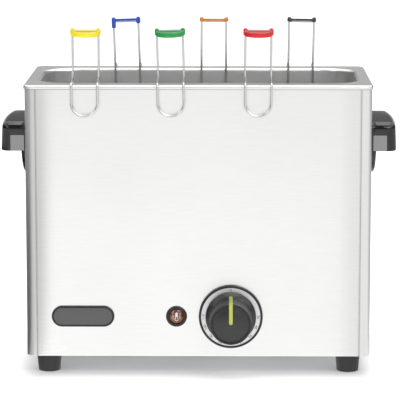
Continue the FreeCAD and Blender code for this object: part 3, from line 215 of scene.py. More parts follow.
def give(tree, node, inputs):
    """Give each of a node's named inputs a value or another node's output."""
    for name, value in inputs.items():
        if isinstance(value, bpy.types.NodeSocket):
            tree.links.new(value, node.inputs[name])
        else:
            node.inputs[name].default_value = value


def add(tree, kind, settings=None, inputs=None):
    """Add one node, set its options and give it its inputs."""
    node = tree.nodes.new(kind)
    for name, value in (settings or {}).items():
        setattr(node, name, value)
    give(tree, node, inputs or {})
    return node


def colour(code):
    """A colour written in sRGB hex, as linear RGBA."""
    srgb = np.array([int(code[k:k + 2], 16) for k in (1, 3, 5)]) / 255.0
    linear = np.where(srgb <= 0.04045, srgb / 12.92, ((srgb + 0.055) / 1.055) ** 2.4)
    return (*linear.tolist(), 1.0)


def linked(name, data):
    """A new object of the scene at the origin."""
    made = bpy.data.objects.new(name, data)
    SCENE.collection.objects.link(made)
    return made


def per_mm(*spacing):
    """How often a pattern repeats in a metre along X, Y and Z, from its spacing in millimetres."""
    return tuple(1000.0 / size for size in spacing)


def begin(name, **values):
    """A new material: the material, its node tree, its shader and its Object coordinates."""
    made = bpy.data.materials.new(name)
    made.use_nodes = True
    tree = made.node_tree
    shader = tree.nodes["Principled BSDF"]
    for key, value in values.items():
        shader.inputs[key.replace("_", " ")].default_value = value
    place = add(tree, "ShaderNodeTexCoord").outputs["Object"]
    return made, tree, shader, place


# ---- metals ----

def brushed_stainless():
    """AISI 304 sheet, belt-brushed along the sheet: nearly white, with fine level streaks.

    The streaks are drawn STREAK_PITCH apart, which is coarser than the real grit, so that they show.  Towards
    the folded corners the sheet falls back: its slope grows from 0 at ROLL_FROM to ROLL_SLOPE at ROLL_TO and
    stays so, and along the joint between the front and each fold the colour is darkened as painted shade."""
    made, tree, shader, place = begin("stainless_sheet_belt_brushed", Metallic=1.0)
    grain = add(tree, "ShaderNodeMapping", inputs={
        "Vector": place, "Scale": per_mm(STREAK_L, STREAK_L, STREAK_PITCH)})
    streaks = add(tree, "ShaderNodeTexNoise", inputs={
        "Vector": grain.outputs["Vector"], "Scale": 1.0, "Detail": 4.0, "Roughness": 0.62})
    cloud = add(tree, "ShaderNodeTexNoise", inputs={"Vector": place, "Scale": 9.0, "Detail": 2.0})
    tone = add(tree, "ShaderNodeMapRange", inputs={
        "Value": streaks.outputs["Fac"], "From Min": 0.3, "From Max": 0.7, "To Min": 0.0, "To Max": 1.0})
    shade = add(tree, "ShaderNodeMix", {"data_type": "RGBA"}, {
        "Factor": tone.outputs["Result"], "A": colour("#EBEBEA"), "B": colour("#F1F1F0")})
    gloss = add(tree, "ShaderNodeMapRange", inputs={
        "Value": cloud.outputs["Fac"], "From Min": 0.3, "From Max": 0.7, "To Min": 0.27, "To Max": 0.33})
    relief = add(tree, "ShaderNodeBump", inputs={
        "Height": streaks.outputs["Fac"], "Strength": 0.03, "Distance": 0.1 * MM})
    side = add(tree, "ShaderNodeSeparateXYZ", inputs={"Vector": place})
    off = add(tree, "ShaderNodeMath", {"operation": "ABSOLUTE"}, {0: side.outputs["X"]})
    share = add(tree, "ShaderNodeMapRange", inputs={
        "Value": off.outputs[0], "From Min": ROLL_FROM * MM, "From Max": ROLL_TO * MM})
    square = add(tree, "ShaderNodeMath", {"operation": "POWER"}, {0: share.outputs["Result"], 1: 2.0})
    curved = add(tree, "ShaderNodeMath", {"operation": "MULTIPLY"}, {
        0: square.outputs[0], 1: ROLL_SLOPE / 2 * (ROLL_TO - ROLL_FROM) * MM})
    beyond = add(tree, "ShaderNodeMath", {"operation": "SUBTRACT"}, {0: off.outputs[0], 1: ROLL_TO * MM})
    past = add(tree, "ShaderNodeMath", {"operation": "MAXIMUM"}, {0: beyond.outputs[0], 1: 0.0})
    even = add(tree, "ShaderNodeMath", {"operation": "MULTIPLY_ADD"}, {
        0: past.outputs[0], 1: ROLL_SLOPE, 2: curved.outputs[0]})
    fall = add(tree, "ShaderNodeMath", {"operation": "MULTIPLY"}, {0: even.outputs[0], 1: -1.0})
    rolled = add(tree, "ShaderNodeBump", inputs={
        "Height": fall.outputs[0], "Strength": 1.0, "Distance": 1.0, "Normal": relief.outputs["Normal"]})
    # painted shade: within SEAM_SOFT of the joint the colour darkens to #D8D8D7, standing in for the shade at
    # the seam
    apart = add(tree, "ShaderNodeMath", {"operation": "SUBTRACT"}, {0: off.outputs[0], 1: SEAM_AT})
    from_seam = add(tree, "ShaderNodeMath", {"operation": "ABSOLUTE"}, {0: apart.outputs[0]})
    painted_seam_shade_fade = add(tree, "ShaderNodeMapRange", {"interpolation_type": "SMOOTHSTEP"}, {
        "Value": from_seam.outputs[0], "From Min": SEAM_SOFT[0] * MM, "From Max": SEAM_SOFT[1] * MM})
    joint = add(tree, "ShaderNodeMix", {"data_type": "RGBA"}, {
        "Factor": painted_seam_shade_fade.outputs["Result"], "A": colour("#D8D8D7"), "B": shade.outputs["Result"]})
    give(tree, shader, {"Base Color": joint.outputs["Result"], "Roughness": gloss.outputs["Result"],
                        "Normal": rolled.outputs["Normal"]})
    return made


def galvanised_sheet():
    """Hot-dip galvanised sheet: dull blue-grey zinc with a spangle of crystals about 9 mm across."""
    made, tree, shader, place = begin("galvanised_sheet_spangled", Metallic=1.0)
    size = add(tree, "ShaderNodeMapping", inputs={"Vector": place, "Scale": per_mm(9, 9, 9)})
    spangle = add(tree, "ShaderNodeTexVoronoi", inputs={"Vector": size.outputs["Vector"], "Scale": 1.0})
    tone = add(tree, "ShaderNodeMix", {"data_type": "RGBA"}, {
        "Factor": spangle.outputs["Color"], "A": colour("#A9ADB0"), "B": colour("#C6CACC")})
    gloss = add(tree, "ShaderNodeMapRange", inputs={
        "Value": spangle.outputs["Distance"], "To Min": 0.36, "To Max": 0.5})
    give(tree, shader, {"Base Color": tone.outputs["Result"], "Roughness": gloss.outputs["Result"]})
    return made


def patchy(name, code, low, high, spacing, strength, depth, **values):
    """One colour, a gloss that runs between two roughnesses in patches, and the patches' relief.

    The spacing of the patches is given along X, Y and Z."""
    made, tree, shader, place = begin(name, **values)
    size = add(tree, "ShaderNodeMapping", inputs={"Vector": place, "Scale": per_mm(*spacing)})
    patches = add(tree, "ShaderNodeTexNoise", inputs={
        "Vector": size.outputs["Vector"], "Scale": 1.0, "Detail": 3.0})
    gloss = add(tree, "ShaderNodeMapRange", inputs={
        "Value": patches.outputs["Fac"], "From Min": 0.3, "From Max": 0.7, "To Min": low, "To Max": high})
    relief = add(tree, "ShaderNodeBump", inputs={
        "Height": patches.outputs["Fac"], "Strength": strength, "Distance": depth * MM})
    give(tree, shader, {"Base Color": colour(code), "Roughness": gloss.outputs["Result"],
                        "Normal": relief.outputs["Normal"]})
    return made


def plain_metal(name, code, low, high, spacing, depth):
    """A metal with a faint relief."""
    return patchy(name, code, low, high, [spacing] * 3, 0.1, depth, Metallic=1.0)


# ---- plastics, rubber and glass ----

def moulded(name, code, roughness, spacing, depth, coat=0.0):
    """A moulded plastic or rubber: the mould's grain as relief, and a skin where it is polished."""
    return patchy(name, code, roughness * 0.88, roughness * 1.12, [spacing] * 3, 0.2, depth,
                  Roughness=roughness, Coat_Weight=coat, Coat_Roughness=0.06)


def amber_lens():
    """Transparent amber polycarbonate: clear and glossy, brown where it is thick."""
    made, tree, shader, place = begin(
        "polycarbonate_amber", Roughness=0.08, Transmission_Weight=0.55, IOR=1.58, Coat_Weight=0.4)
    size = add(tree, "ShaderNodeMapping", inputs={"Vector": place, "Scale": per_mm(3, 3, 3)})
    depth = add(tree, "ShaderNodeTexNoise", inputs={"Vector": size.outputs["Vector"], "Scale": 1.0})
    tone = add(tree, "ShaderNodeMix", {"data_type": "RGBA"}, {
        "Factor": depth.outputs["Fac"], "A": colour("#74401F"), "B": colour("#A45E30")})
    give(tree, shader, {"Base Color": tone.outputs["Result"]})
    return made


FINISHES = {
    "brushed_stainless": brushed_stainless(),
    # deep drawn and left satin, with faint upright draw marks
    "drawn_stainless": patchy(
        "stainless_deep_drawn", "#F2F2F1", 0.28, 0.33, (2.0, 2.0, 60.0), 0.02, 0.1, Metallic=1.0),
    "galvanised_sheet": galvanised_sheet(),
    "zinc_plated_steel": plain_metal("steel_zinc_plated", "#BFC3C6", 0.22, 0.32, 3.0, 0.02),
    "bright_wire": plain_metal("stainless_wire_electropolished", "#D9D9D9", 0.19, 0.25, 2.0, 0.01),
    "copper": plain_metal("copper_drawn", "#B87452", 0.25, 0.35, 4.0, 0.02),
    "brass": plain_metal("brass_turned", "#C9A55A", 0.2, 0.3, 3.0, 0.02),
    "heater_sheath": plain_metal("heater_sheath_oxidised", "#6E6A66", 0.35, 0.5, 6.0, 0.03),
    "dial_aluminium": plain_metal("aluminium_spun_anodised", "#D9D9DA", 0.28, 0.34, 1.0, 0.02),
    "foot_rubber": moulded("rubber_moulded_matt", "#2A2A2C", 0.55, 0.9, 0.06),
    "handle_plastic": moulded("phenolic_black_polished", "#060607", 0.10, 3.0, 0.006, 0.3),
    "badge_plastic": moulded("abs_grey_satin", "#505050", 0.42, 0.6, 0.01),
    "black_nylon": moulded("nylon_black_grained", "#131314", 0.34, 0.7, 0.02),
    "knob_plastic": moulded("phenolic_black_satin", "#272728", 0.3, 0.6, 0.012),
    "pointer_plastic": moulded("abs_yellow_green", "#AEB24E", 0.4, 0.8, 0.01),
    "electrical_moulding": moulded("urea_moulding_cream", "#E2DCCB", 0.5, 0.8, 0.02),
    "brown_silicone": moulded("silicone_brown", "#6B3A20", 0.5, 1.0, 0.02),
    "earth_silicone": moulded("silicone_green_yellow", "#8FA82A", 0.5, 1.0, 0.02),
    "lamp_glass": moulded("glass_neon_tube", "#E8D8C0", 0.08, 3.0, 0.005),
    "amber_lens": amber_lens(),
    "grip_yellow": moulded("pp_yellow_polished", "#E6D203", 0.14, 2.5, 0.006, 0.3),
    "grip_green": moulded("pp_green_polished", "#008A3A", 0.14, 2.5, 0.006, 0.3),
    "grip_red": moulded("pp_red_polished", "#C60010", 0.14, 2.5, 0.006, 0.3),
    "grip_blue": moulded("pp_blue_polished", "#0048BC", 0.14, 2.5, 0.006, 0.3),
    "grip_orange": moulded("pp_orange_polished", "#DC851E", 0.14, 2.5, 0.006, 0.3),
    "grip_black": moulded("pp_black_polished", "#222226", 0.14, 2.5, 0.006, 0.6),
}
# painted reflection: the inlays' grey stands in for a soft box reflected in the handles' black end faces
INLAY_PAINTED_REFLECTION = plain_metal("grey_inlay_painted_reflection", "#989898", 0.3, 0.36, 1.0, 0.01)


def finish_frame():
    """Each node of the frame gets the finish of its slot."""
    for part in frame["record"]["subparts"]:
        mesh = NODES[part["node"]].data
        mesh.materials.clear()
        mesh.materials.append(FINISHES[part["material_slot"]])


# ---- modelling tools ----
# Sizes of the pieces are written in millimetres in each piece's own call, and turned into metres in piece().

def rounded(corners, radii, steps=6):
    """A line through flat points whose corners are arcs tangent to both sides, of the given radii.

    At a corner with a turn of t the arc starts radius * tan(t / 2) before it, and has steps + 1 points."""
    corners = [np.array(corner, float) for corner in corners]
    line = [corners[0][None]]
    for before, corner, after, radius in zip(corners, corners[1:], corners[2:], radii):
        into = (corner - before) / np.linalg.norm(corner - before)
        out = (after - corner) / np.linalg.norm(after - corner)
        turn = math.acos(np.clip(into @ out, -1.0, 1.0))
        if radius <= 0.0 or turn < 1e-4:
            line.append(corner[None])
            continue
        cut = radius * math.tan(turn / 2)
        middle = corner + (out - into) / np.linalg.norm(out - into) * radius / math.cos(turn / 2)
        start = corner - into * cut - middle
        swing = np.linspace(0.0, turn, steps + 1)[:, None]
        side = into * radius
        line.append(middle + start * np.cos(swing) + side * np.sin(swing))
    line.append(corners[-1][None])
    return np.concatenate(line)


def turned(profile, at, steps=96):
    """Points of revolution about the depth axis: profile is (radius, distance in front of at)."""
    turn = np.linspace(0.0, 2 * math.pi, steps, endpoint=False)[None, :]
    radius = profile[:, 0:1]
    return np.stack([at[0] + radius * np.cos(turn), at[1] - profile[:, 1:2] + 0 * turn,
                     at[2] + radius * np.sin(turn)], axis=-1)


def grid_faces(rows, columns, start, loop_rows, loop_columns):
    """The quads between neighbouring points of a grid."""
    row = np.arange(rows if loop_rows else rows - 1)[:, None]
    column = np.arange(columns if loop_columns else columns - 1)[None, :]
    after = (row + 1) % rows
    beside = (column + 1) % columns
    corners = (row * columns + column, row * columns + beside,
               after * columns + beside, after * columns + column)
    return start + np.stack(np.broadcast_arrays(*corners), axis=-1).reshape(-1, 4)


def weld(mesh, thin_faces=False):
    """Join the points that meet, drop faces without area unless they may stay, and turn the faces outward."""
    work = bmesh.new()
    work.from_mesh(mesh)
    bmesh.ops.remove_doubles(work, verts=work.verts, dist=WELD)
    if not thin_faces:
        bmesh.ops.dissolve_degenerate(work, edges=work.edges, dist=WELD)
    bmesh.ops.recalc_face_normals(work, faces=work.faces)
    work.to_mesh(mesh)
    work.free()


def piece(name, slot, body, grids, stands_for=(), sharp=32.0, finish=None):
    """One object from grids of points in millimetres, each (points, looped along rows, looped along columns).

    Poles and seams are welded, normals face out, and edges sharper than the given angle stay crisp."""
    points = []
    faces = []
    count = 0
    for grid, loop_rows, loop_columns in grids:
        rows, columns = grid.shape[:2]
        points.append(grid.reshape(-1, 3) * MM)
        faces.append(grid_faces(rows, columns, count, loop_rows, loop_columns))
        count += rows * columns
    mesh = bpy.data.meshes.new(name)
    mesh.from_pydata(np.concatenate(points).tolist(), [], np.concatenate(faces).tolist())
    weld(mesh)
    mesh.shade_smooth()
    mesh.set_sharp_from_angle(angle=math.radians(sharp))
    mesh.materials.append(finish or FINISHES[slot])
    made = linked(name, mesh)
    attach(made, body)
    if stands_for:
        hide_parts(*stands_for)
    return made


def corners_of(node):
    """A node's lowest and highest corners in millimetres."""
    low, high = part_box(node)
    return np.array(low) / MM, np.array(high) / MM


# ---- controls ----

def knob_line(length):
    """Half the knob's section: bore, skirt, sweep into the barrel, a step, and a slightly domed cap.

    The sweep's radius is the barrel's plus (1 - share) ** SWEEP_POWER of what the skirt stands out."""
    share = np.linspace(0.0, 1.0, 24)[1:, None]
    sweep = np.hstack([BARREL_R + (SKIRT_R - BARREL_R) * (1 - share) ** SWEEP_POWER,
                       SKIRT_T + (NECK_AT - SKIRT_T) * share])
    back = rounded([(0, KNOB_BORE_L), (SHAFT_R, KNOB_BORE_L), (SHAFT_R, 0), (SKIRT_R, 0), (SKIRT_R, SKIRT_T)],
                   [0, 0, KNOB_EDGE_R])
    shoulder = length - CAP_STEP
    front = rounded([(BARREL_FRONT_R, length - BARREL_FRONT_L), (BARREL_FRONT_R, shoulder),
                     (CAP_R + GROOVE_W, shoulder), (CAP_R + GROOVE_W, shoulder - GROOVE_DEPTH),
                     (CAP_R, shoulder - GROOVE_DEPTH), (CAP_R, length - CAP_DOME - CAP_EDGE_DROP),
                     (CAP_R - CAP_EDGE_W, length - CAP_DOME)],
                    [KNOB_EDGE_R, GROOVE_EDGE_R, 0.0, 0.0, CAP_EDGE_R])
    dome_x = np.linspace(1.0, 0.0, 12)[1:, None]
    dome = np.hstack([(CAP_R - CAP_EDGE_W) * dome_x, length - CAP_DOME * dome_x ** 2])
    return np.concatenate([back, sweep, front, dome])


def knob_and_pointer():
    """The turned knob, and the strip let along its top from the sweep over the cap's edge to the middle."""
    low, high = corners_of("knob")
    at = ((low[0] + high[0]) / 2, high[1], (low[2] + high[2]) / 2)
    length = high[1] - low[1]
    line = knob_line(length)
    piece("knob_turned", "knob_plastic", "dial_knob", [(turned(line, at), False, True)], ["knob"], 24.0)
    share = np.linspace(POINTER_FROM, 1.0, 10)[:, None]
    lifted = np.hstack([BARREL_R + (SKIRT_R - BARREL_R) * (1 - share) ** SWEEP_POWER + POINTER_T,
                        SKIRT_T + (NECK_AT - SKIRT_T) * share])
    over = rounded([lifted[-1], (BARREL_FRONT_R + POINTER_T, length - CAP_STEP), (CAP_R + 0.4, length + 0.3),
                    (CAP_R - CAP_EDGE_W, length + POINTER_T - CAP_DOME * 0.6), (0.0, length + POINTER_T)],
                   [2.0, 1.0, 3.0])
    path = np.concatenate([lifted[:-1], over])
    along = np.concatenate([[0.0], np.cumsum(np.linalg.norm(np.diff(path, axis=0), axis=1))])
    rounding = np.sin(np.linspace(0.15, 1.0, 10) * math.pi / 2)
    stops = np.concatenate([[0.0, 0.12, 0.4, POINTER_START], np.linspace(1.4, along[-1] - POINTER_W / 2, 60),
                            along[-1] - POINTER_W / 2 * (1 - rounding)])
    radius = np.interp(stops, along, path[:, 0])
    depth = np.interp(stops, along, path[:, 1])
    to_end = np.clip(stops - (along[-1] - POINTER_W / 2), 0.0, POINTER_W / 2)
    half = np.sqrt(np.maximum((POINTER_W / 2) ** 2 - to_end ** 2, 0.0))
    begun = np.clip(stops / POINTER_START, 0.0, 1.0)
    half = half * np.sqrt(begun * (2 - begun)) ** 0.25
    heading = np.gradient(np.stack([radius, depth], axis=1), axis=0)
    heading /= np.linalg.norm(heading, axis=1)[:, None]
    sink = np.array([1.6, 0.45, 0.12, 0.0, 0.0, 0.12, 0.45, 1.6])
    across = np.array([-1.0, -1.0, -0.86, -0.6, 0.6, 0.86, 1.0, 1.0])
    x = at[0] + half[:, None] * across[None, :]
    r = radius[:, None] - heading[:, 1:2] * sink[None, :]
    y = depth[:, None] + heading[:, 0:1] * sink[None, :]
    grid = np.stack([x, at[1] - y, at[2] + r], axis=-1)
    piece("pointer_strip", "pointer_plastic", "dial_knob", [(grid, False, True)], ["knob_pointer"], 40.0)


def stadium_ring(length, height, inset, at, forward, steps=32):
    """A ring of points with half-round ends, drawn in by inset from a plate of the given size."""
    radius = max(height / 2 - inset, 0.0)
    run = (length - height) / 2
    turn = np.linspace(-math.pi / 2, math.pi / 2, steps)
    right = np.stack([run + radius * np.cos(turn), radius * np.sin(turn)], axis=1)
    ring = np.concatenate([right, -right])
    return np.stack([at[0] + ring[:, 0], np.full(len(ring), at[1] - forward), at[2] + ring[:, 1]], axis=1)


def badge():
    """A black stadium rim with a rounded crest, and the blank grey face sunk in it."""
    low, high = corners_of("badge_plate")
    at = ((low[0] + high[0]) / 2, corners_of("front_panel")[0][1], (low[2] + high[2]) / 2)
    length = high[0] - low[0]
    height = high[2] - low[2]
    proud = at[1] - low[1]
    crest = rounded([(0.0, 0.0), (0.0, proud), (BADGE_RIM_W, proud), (BADGE_RIM_W, proud - BADGE_SUNK),
                     (height / 2, proud - BADGE_SUNK)], [0.9, 0.45, 0.3])
    rows = [stadium_ring(length, height, inset, at, forward)
            for inset, forward in crest[crest[:, 0] < 2 * BADGE_RIM_W]]
    rows.append(stadium_ring(length, height, height / 2, at, proud - BADGE_SUNK))
    rows.insert(0, stadium_ring(length, height, height / 2, at, 0.0))
    piece("badge_rim", "black_nylon", "casing", [(np.array(rows), False, True)], ["badge_plate"])
    edge = rounded([(BADGE_RIM_W, 0.0), (BADGE_RIM_W, BADGE_FACE_T), (height / 2, BADGE_FACE_T)],
                   [BADGE_FACE_T / 2])
    rows = [stadium_ring(length, height, inset, at, proud - BADGE_SUNK + forward) for inset, forward in edge]
    rows.insert(0, stadium_ring(length, height, height / 2, at, proud - BADGE_SUNK))
    piece("badge_face", "badge_plastic", "casing", [(np.array(rows), False, True)])


def ribbon(path, width, closed=False):
    """A flat strip along a path of (across, up) points: four points a row, as (across, up, height)."""
    heading = np.gradient(path, axis=0)
    if closed:
        heading = np.roll(path, -1, axis=0) - np.roll(path, 1, axis=0)
    heading /= np.linalg.norm(heading, axis=1)[:, None]
    side = np.stack([-heading[:, 1], heading[:, 0]], axis=1) * width / 2
    rows = []
    for edge, lift in ((-1, 0.0), (-1, 1.0), (1, 1.0), (1, 0.0)):
        rows.append(np.column_stack([path + edge * side, np.full(len(path), lift)]))
    return np.stack(rows, axis=1)


def pilot():
    """The amber dome, and a small thermometer with scale marks printed on it in white."""
    low, high = corners_of("pilot_lens")
    at = ((low[0] + high[0]) / 2, high[1], (low[2] + high[2]) / 2)
    radius = (high[0] - low[0]) / 2
    reach = high[1] - low[1]
    ball = (radius ** 2 + LENS_DOME ** 2) / (2 * LENS_DOME)
    swing = np.linspace(math.asin((radius - LENS_EDGE) / ball), 0.0, 16)
    dome = np.stack([ball * np.sin(swing), reach - ball * (1 - np.cos(swing))], axis=1)
    foot = rounded([(0.0, 0.0), (LENS_SPIGOT_R, 0.0), (LENS_SPIGOT_R, reach - LENS_DOME),
                    (radius, reach - LENS_DOME), tuple(dome[0])], [0.3, 0.0, 0.0])
    line = np.concatenate([foot, dome[1:]])
    piece("lens_dome", "amber_lens", "casing", [(turned(line, at, 64), False, True)], ["pilot_lens"])
    stem = math.asin(PICTO_STEM / PICTO_BULB)
    turn = np.linspace(math.pi / 2 + stem, 2.5 * math.pi - stem, 30)
    bulb = np.stack([PICTO_BULB * np.cos(turn), PICTO_BULB * np.sin(turn) - PICTO_DROP], axis=1)
    turn = np.linspace(0.0, math.pi, 14)
    top = np.stack([PICTO_STEM * np.cos(turn), PICTO_STEM * np.sin(turn) + PICTO_RISE], axis=1)
    share = np.linspace(0.0, 1.0, 12)[1:-1, None]
    up_right = bulb[-1] + (top[0] - bulb[-1]) * share
    down_left = top[-1] + (bulb[0] - top[-1]) * share
    outline = np.concatenate([bulb, up_right, top, down_left])
    strips = [(ribbon(outline, PICTO_LINE, True), True)]
    up = np.linspace(0.3, PICTO_RISE + 0.3, 8)
    strips.append((ribbon(np.stack([0 * up, up], axis=1), PICTO_FILL), False))
    dot = np.linspace(-PICTO_LINE / 2, PICTO_LINE / 2, 3)
    for across in PICTO_MARKS_X:
        for mark in np.linspace(*PICTO_MARKS_Z, 5):
            strips.append((ribbon(np.stack([across + dot, 0 * dot + mark], axis=1), PICTO_LINE), False))
    grids = []
    for strip, closed in strips:
        drop = ball - np.sqrt(ball ** 2 - strip[..., 0] ** 2 - strip[..., 1] ** 2)
        forward = reach - drop + (strip[..., 2] * 2 - 1) * PRINT_T
        grids.append((np.stack([at[0] + strip[..., 0], at[1] - forward, at[2] + strip[..., 1]], axis=-1),
                      closed, True))
    piece("lens_print", "lamp_glass", "casing", grids,
          finish=moulded("pad_print_white", "#E6DEE6", 0.5, 0.5, 0.005))


def dial_numbers():
    """The scale in dark ink on the silver plate: 0 at the top, 30 to 110 from the right round to the left."""
    low, high = corners_of("dial_plate")
    at = ((low[0] + high[0]) / 2, low[1], (low[2] + high[2]) / 2)
    marks = [("0", 0.0)] + [(str(30 + 10 * k), SCALE_FROM + SCALE_STEP * k) for k in range(9)]
    points = []
    faces = []
    count = 0
    for words, clockwise in marks:
        text = bpy.data.curves.new("number", "FONT")
        text.body = words
        text.size = NUMBER_H * NUMBER_TO_TYPE
        text.align_x = "CENTER"
        text.extrude = PRINT_T
        text.resolution_u = 3
        maker = linked("number", text)
        bpy.context.view_layer.update()
        flat = bpy.data.meshes.new_from_object(maker.evaluated_get(bpy.context.evaluated_depsgraph_get()))
        bpy.data.objects.remove(maker)
        spots = np.empty(len(flat.vertices) * 3)
        flat.vertices.foreach_get("co", spots)
        spots = spots.reshape(-1, 3)
        turn = math.radians(clockwise)
        across = spots[:, 0]
        up = spots[:, 1] + NUMBER_RADIUS - NUMBER_H / 2
        placed = np.stack([at[0] + across * math.cos(turn) + up * math.sin(turn), at[1] - spots[:, 2],
                           at[2] - across * math.sin(turn) + up * math.cos(turn)], axis=1)
        flat.calc_loop_triangles()
        corners = np.empty(len(flat.loop_triangles) * 3, int)
        flat.loop_triangles.foreach_get("vertices", corners)
        faces.append(corners.reshape(-1, 3) + count)
        count += len(placed)
        points.append(placed)
        bpy.data.meshes.remove(flat)
    mesh = bpy.data.meshes.new("dial_numbers")
    mesh.from_pydata((np.concatenate(points) * MM).tolist(), [], np.concatenate(faces).tolist())
    weld(mesh, thin_faces=True)
    mesh.materials.append(moulded("screen_ink_dark_grey", "#303032", 0.6, 0.4, 0.005))
    made = linked("dial_numbers", mesh)
    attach(made, "casing")


# ---- handles ----

def lofted(sections, across):
    """A solid through closed level sections: each is (x, z) points at one y, with both ends filled."""
    rows = [np.stack([section[:, 0], np.full(len(section), y), section[:, 1]], axis=1)
            for section, y in zip(sections, across)]
    first = np.repeat(rows[0].mean(axis=0)[None], len(rows[0]), axis=0)
    last = np.repeat(rows[-1].mean(axis=0)[None], len(rows[-1]), axis=0)
    return np.array([first] + rows + [last])


def hood_section(wall, low_x, top_x, low_z, top_z, inset):
    """The hood's outline, drawn in by inset on its outer side and top.

    The line starts and ends on the straight lower side, so that each corner has a side on both hands."""
    return rounded([(wall + 6, low_z), (low_x - inset, low_z), (top_x - inset, top_z - inset),
                    (wall, top_z - inset), (wall, low_z), (wall + 6, low_z)],
                   [HOOD_EDGE_R, max(SHOULDER_R - inset, HOLLOW_R), 0.0, 0.0], 12)[:-1]


def cut_with(body, tools):
    """The solid with each tool taken away or joined, in order."""
    for operation, tool in tools:
        change = body.modifiers.new(operation.lower(), "BOOLEAN")
        change.operation = operation
        change.solver = "EXACT"
        change.object = tool
    soften = body.modifiers.new("soft_edges", "BEVEL")
    soften.width = EDGE_SOFT * MM
    soften.segments = 2
    soften.limit_method = "ANGLE"
    soften.angle_limit = math.radians(50)
    bpy.context.view_layer.update()
    done = bpy.data.meshes.new_from_object(body.evaluated_get(bpy.context.evaluated_depsgraph_get()))
    for helper in [body] + [tool for operation, tool in tools]:
        bpy.data.objects.remove(helper)
    return done


def helper(grid):
    """A bare object for one cut."""
    rows, columns = grid.shape[:2]
    mesh = bpy.data.meshes.new("helper")
    faces = grid_faces(rows, columns, 0, False, True)
    mesh.from_pydata((grid.reshape(-1, 3) * MM).tolist(), [], faces.tolist())
    weld(mesh)
    return linked("helper", mesh)


def half_moon(wall, middle, base):
    """The half-moon plate on the wall, with a rounded outer edge.

    Its lower edge is an arc of radius (drop ** 2 + (chord / 2) ** 2) / (2 * drop)."""
    moon_r = (TAB_DROP ** 2 + (TAB_CHORD / 2) ** 2) / (2 * TAB_DROP)
    moon_z = base - TAB_DROP + moon_r
    edge = rounded([(0.0, 0.0), (0.0, TAB_T), (6.0, TAB_T)], [TAB_EDGE_R], 8)
    rows = []
    for inset, forward in edge:
        radius = moon_r - inset
        swing = math.acos((moon_z - base - TAB_TUCK) / radius)
        turn = np.linspace(-swing, swing, 60)
        rows.append(np.stack([np.full(60, wall + forward), middle + radius * np.sin(turn),
                              moon_z - radius * np.cos(turn)], axis=1))
    rows.insert(0, np.repeat(rows[0].mean(axis=0)[None], 60, axis=0))
    rows.append(np.repeat(rows[-1].mean(axis=0)[None], 60, axis=0))
    return np.array(rows)


def end_panel(wall, base, top):
    """The outline of the recess in each end of the hood, open at its lower side."""
    out = wall + INLAY_RIM + INLAY_W
    return rounded([(wall + 10, base - 1), (out, base - 1), (out, top - INLAY_DOWN),
                    (wall + INLAY_RIM, top - INLAY_DOWN), (wall + INLAY_RIM, base - 1),
                    (wall + 10, base - 1)], [0.0, INLAY_R, INLAY_R, 0.0])[:-1]


def handle(side, node):
    """A crowned hood over a half-moon plate, hollow for the fingers, with a grey inlay sunk in each end.

    The crown lowers the top by CROWN * (2 y / length) ** 2, and each end is rounded by HOOD_ROUND.  Seen from
    above, the outer side is an arc of radius (length ** 2 / 4 + bow ** 2) / (2 * bow).  The inlays' grey is a
    painted reflection of a soft box in the black end faces."""
    low, high = corners_of(node)
    wall, out = (low[0], high[0]) if side > 0 else (-high[0], -low[0])
    middle = (low[1] + high[1]) / 2
    half = (high[1] - low[1]) / 2
    top = high[2]
    base = top - HOOD_H
    swing = np.linspace(0.0, math.pi / 2, 15)
    near = np.column_stack([HOOD_ROUND * (1 - np.sin(swing)), -half + HOOD_ROUND * (1 - np.cos(swing))])
    body = np.column_stack([np.zeros(9), np.linspace(-half + 1.4 * HOOD_ROUND, half - 1.4 * HOOD_ROUND, 9)])
    stops = np.concatenate([near, body, near[::-1] * (1, -1)])
    arc = (half ** 2 + HOOD_BOW ** 2) / (2 * HOOD_BOW)

    def bowed(inset, y):
        return out - arc + np.sqrt((arc - inset) ** 2 - y ** 2)

    sections = [hood_section(wall, bowed(0, y), bowed(0, y) - HOOD_TAPER,
                             base, top - CROWN * (y / half) ** 2, inset) for inset, y in stops]
    mirror = np.array([side, 1.0, 1.0])
    hood = helper(lofted(sections, middle + stops[:, 1]) * mirror)
    roof = top - HOOD_WALL
    along = np.linspace(-1.0, 1.0, 17) * (half - HOOD_END)
    inner = [rounded([(wall + 12, base - 40), (side_x, base - 40), (side_x, roof), (wall + TAB_T, roof),
                      (wall + TAB_T, base - 40), (wall + 12, base - 40)],
                     [0.0, SHOULDER_R - HOOD_WALL, HOLLOW_R, 0.0])[:-1] for side_x in bowed(HOOD_WALL, along)]
    hollow = helper(lofted(inner, middle + along) * mirror)
    tab = helper(half_moon(wall, middle, base) * mirror)
    tools = [("DIFFERENCE", hollow), ("UNION", tab)]
    panel = end_panel(wall, base, top)
    plate = (panel - panel.mean(axis=0)) * (1 - INLAY_PLAY) + panel.mean(axis=0)
    plate[:, 1] = np.maximum(plate[:, 1], base + INLAY_UP)
    inlays = []
    for end in (-1, 1):
        face = middle + end * half
        floor_y = face - end * INLAY_SINK
        tools.append(("DIFFERENCE", helper(lofted([panel, panel], [face + end, floor_y]) * mirror)))
        inlays.append((lofted([plate, plate], [floor_y, face - end * INLAY_FACE]) * mirror, False, True))
    mesh = cut_with(hood, tools)
    mesh.name = node + "_hood"
    mesh.shade_smooth()
    mesh.set_sharp_from_angle(angle=math.radians(35))
    mesh.materials.clear()
    mesh.materials.append(FINISHES["handle_plastic"])
    made = linked(node + "_hood", mesh)
    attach(made, "casing")
    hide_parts(node)
    # painted reflection: grey inlays standing in for a soft box reflected in the black ends
    piece(node + "_inlays_painted_reflection", "badge_plastic", "casing", inlays, finish=INLAY_PAINTED_REFLECTION)


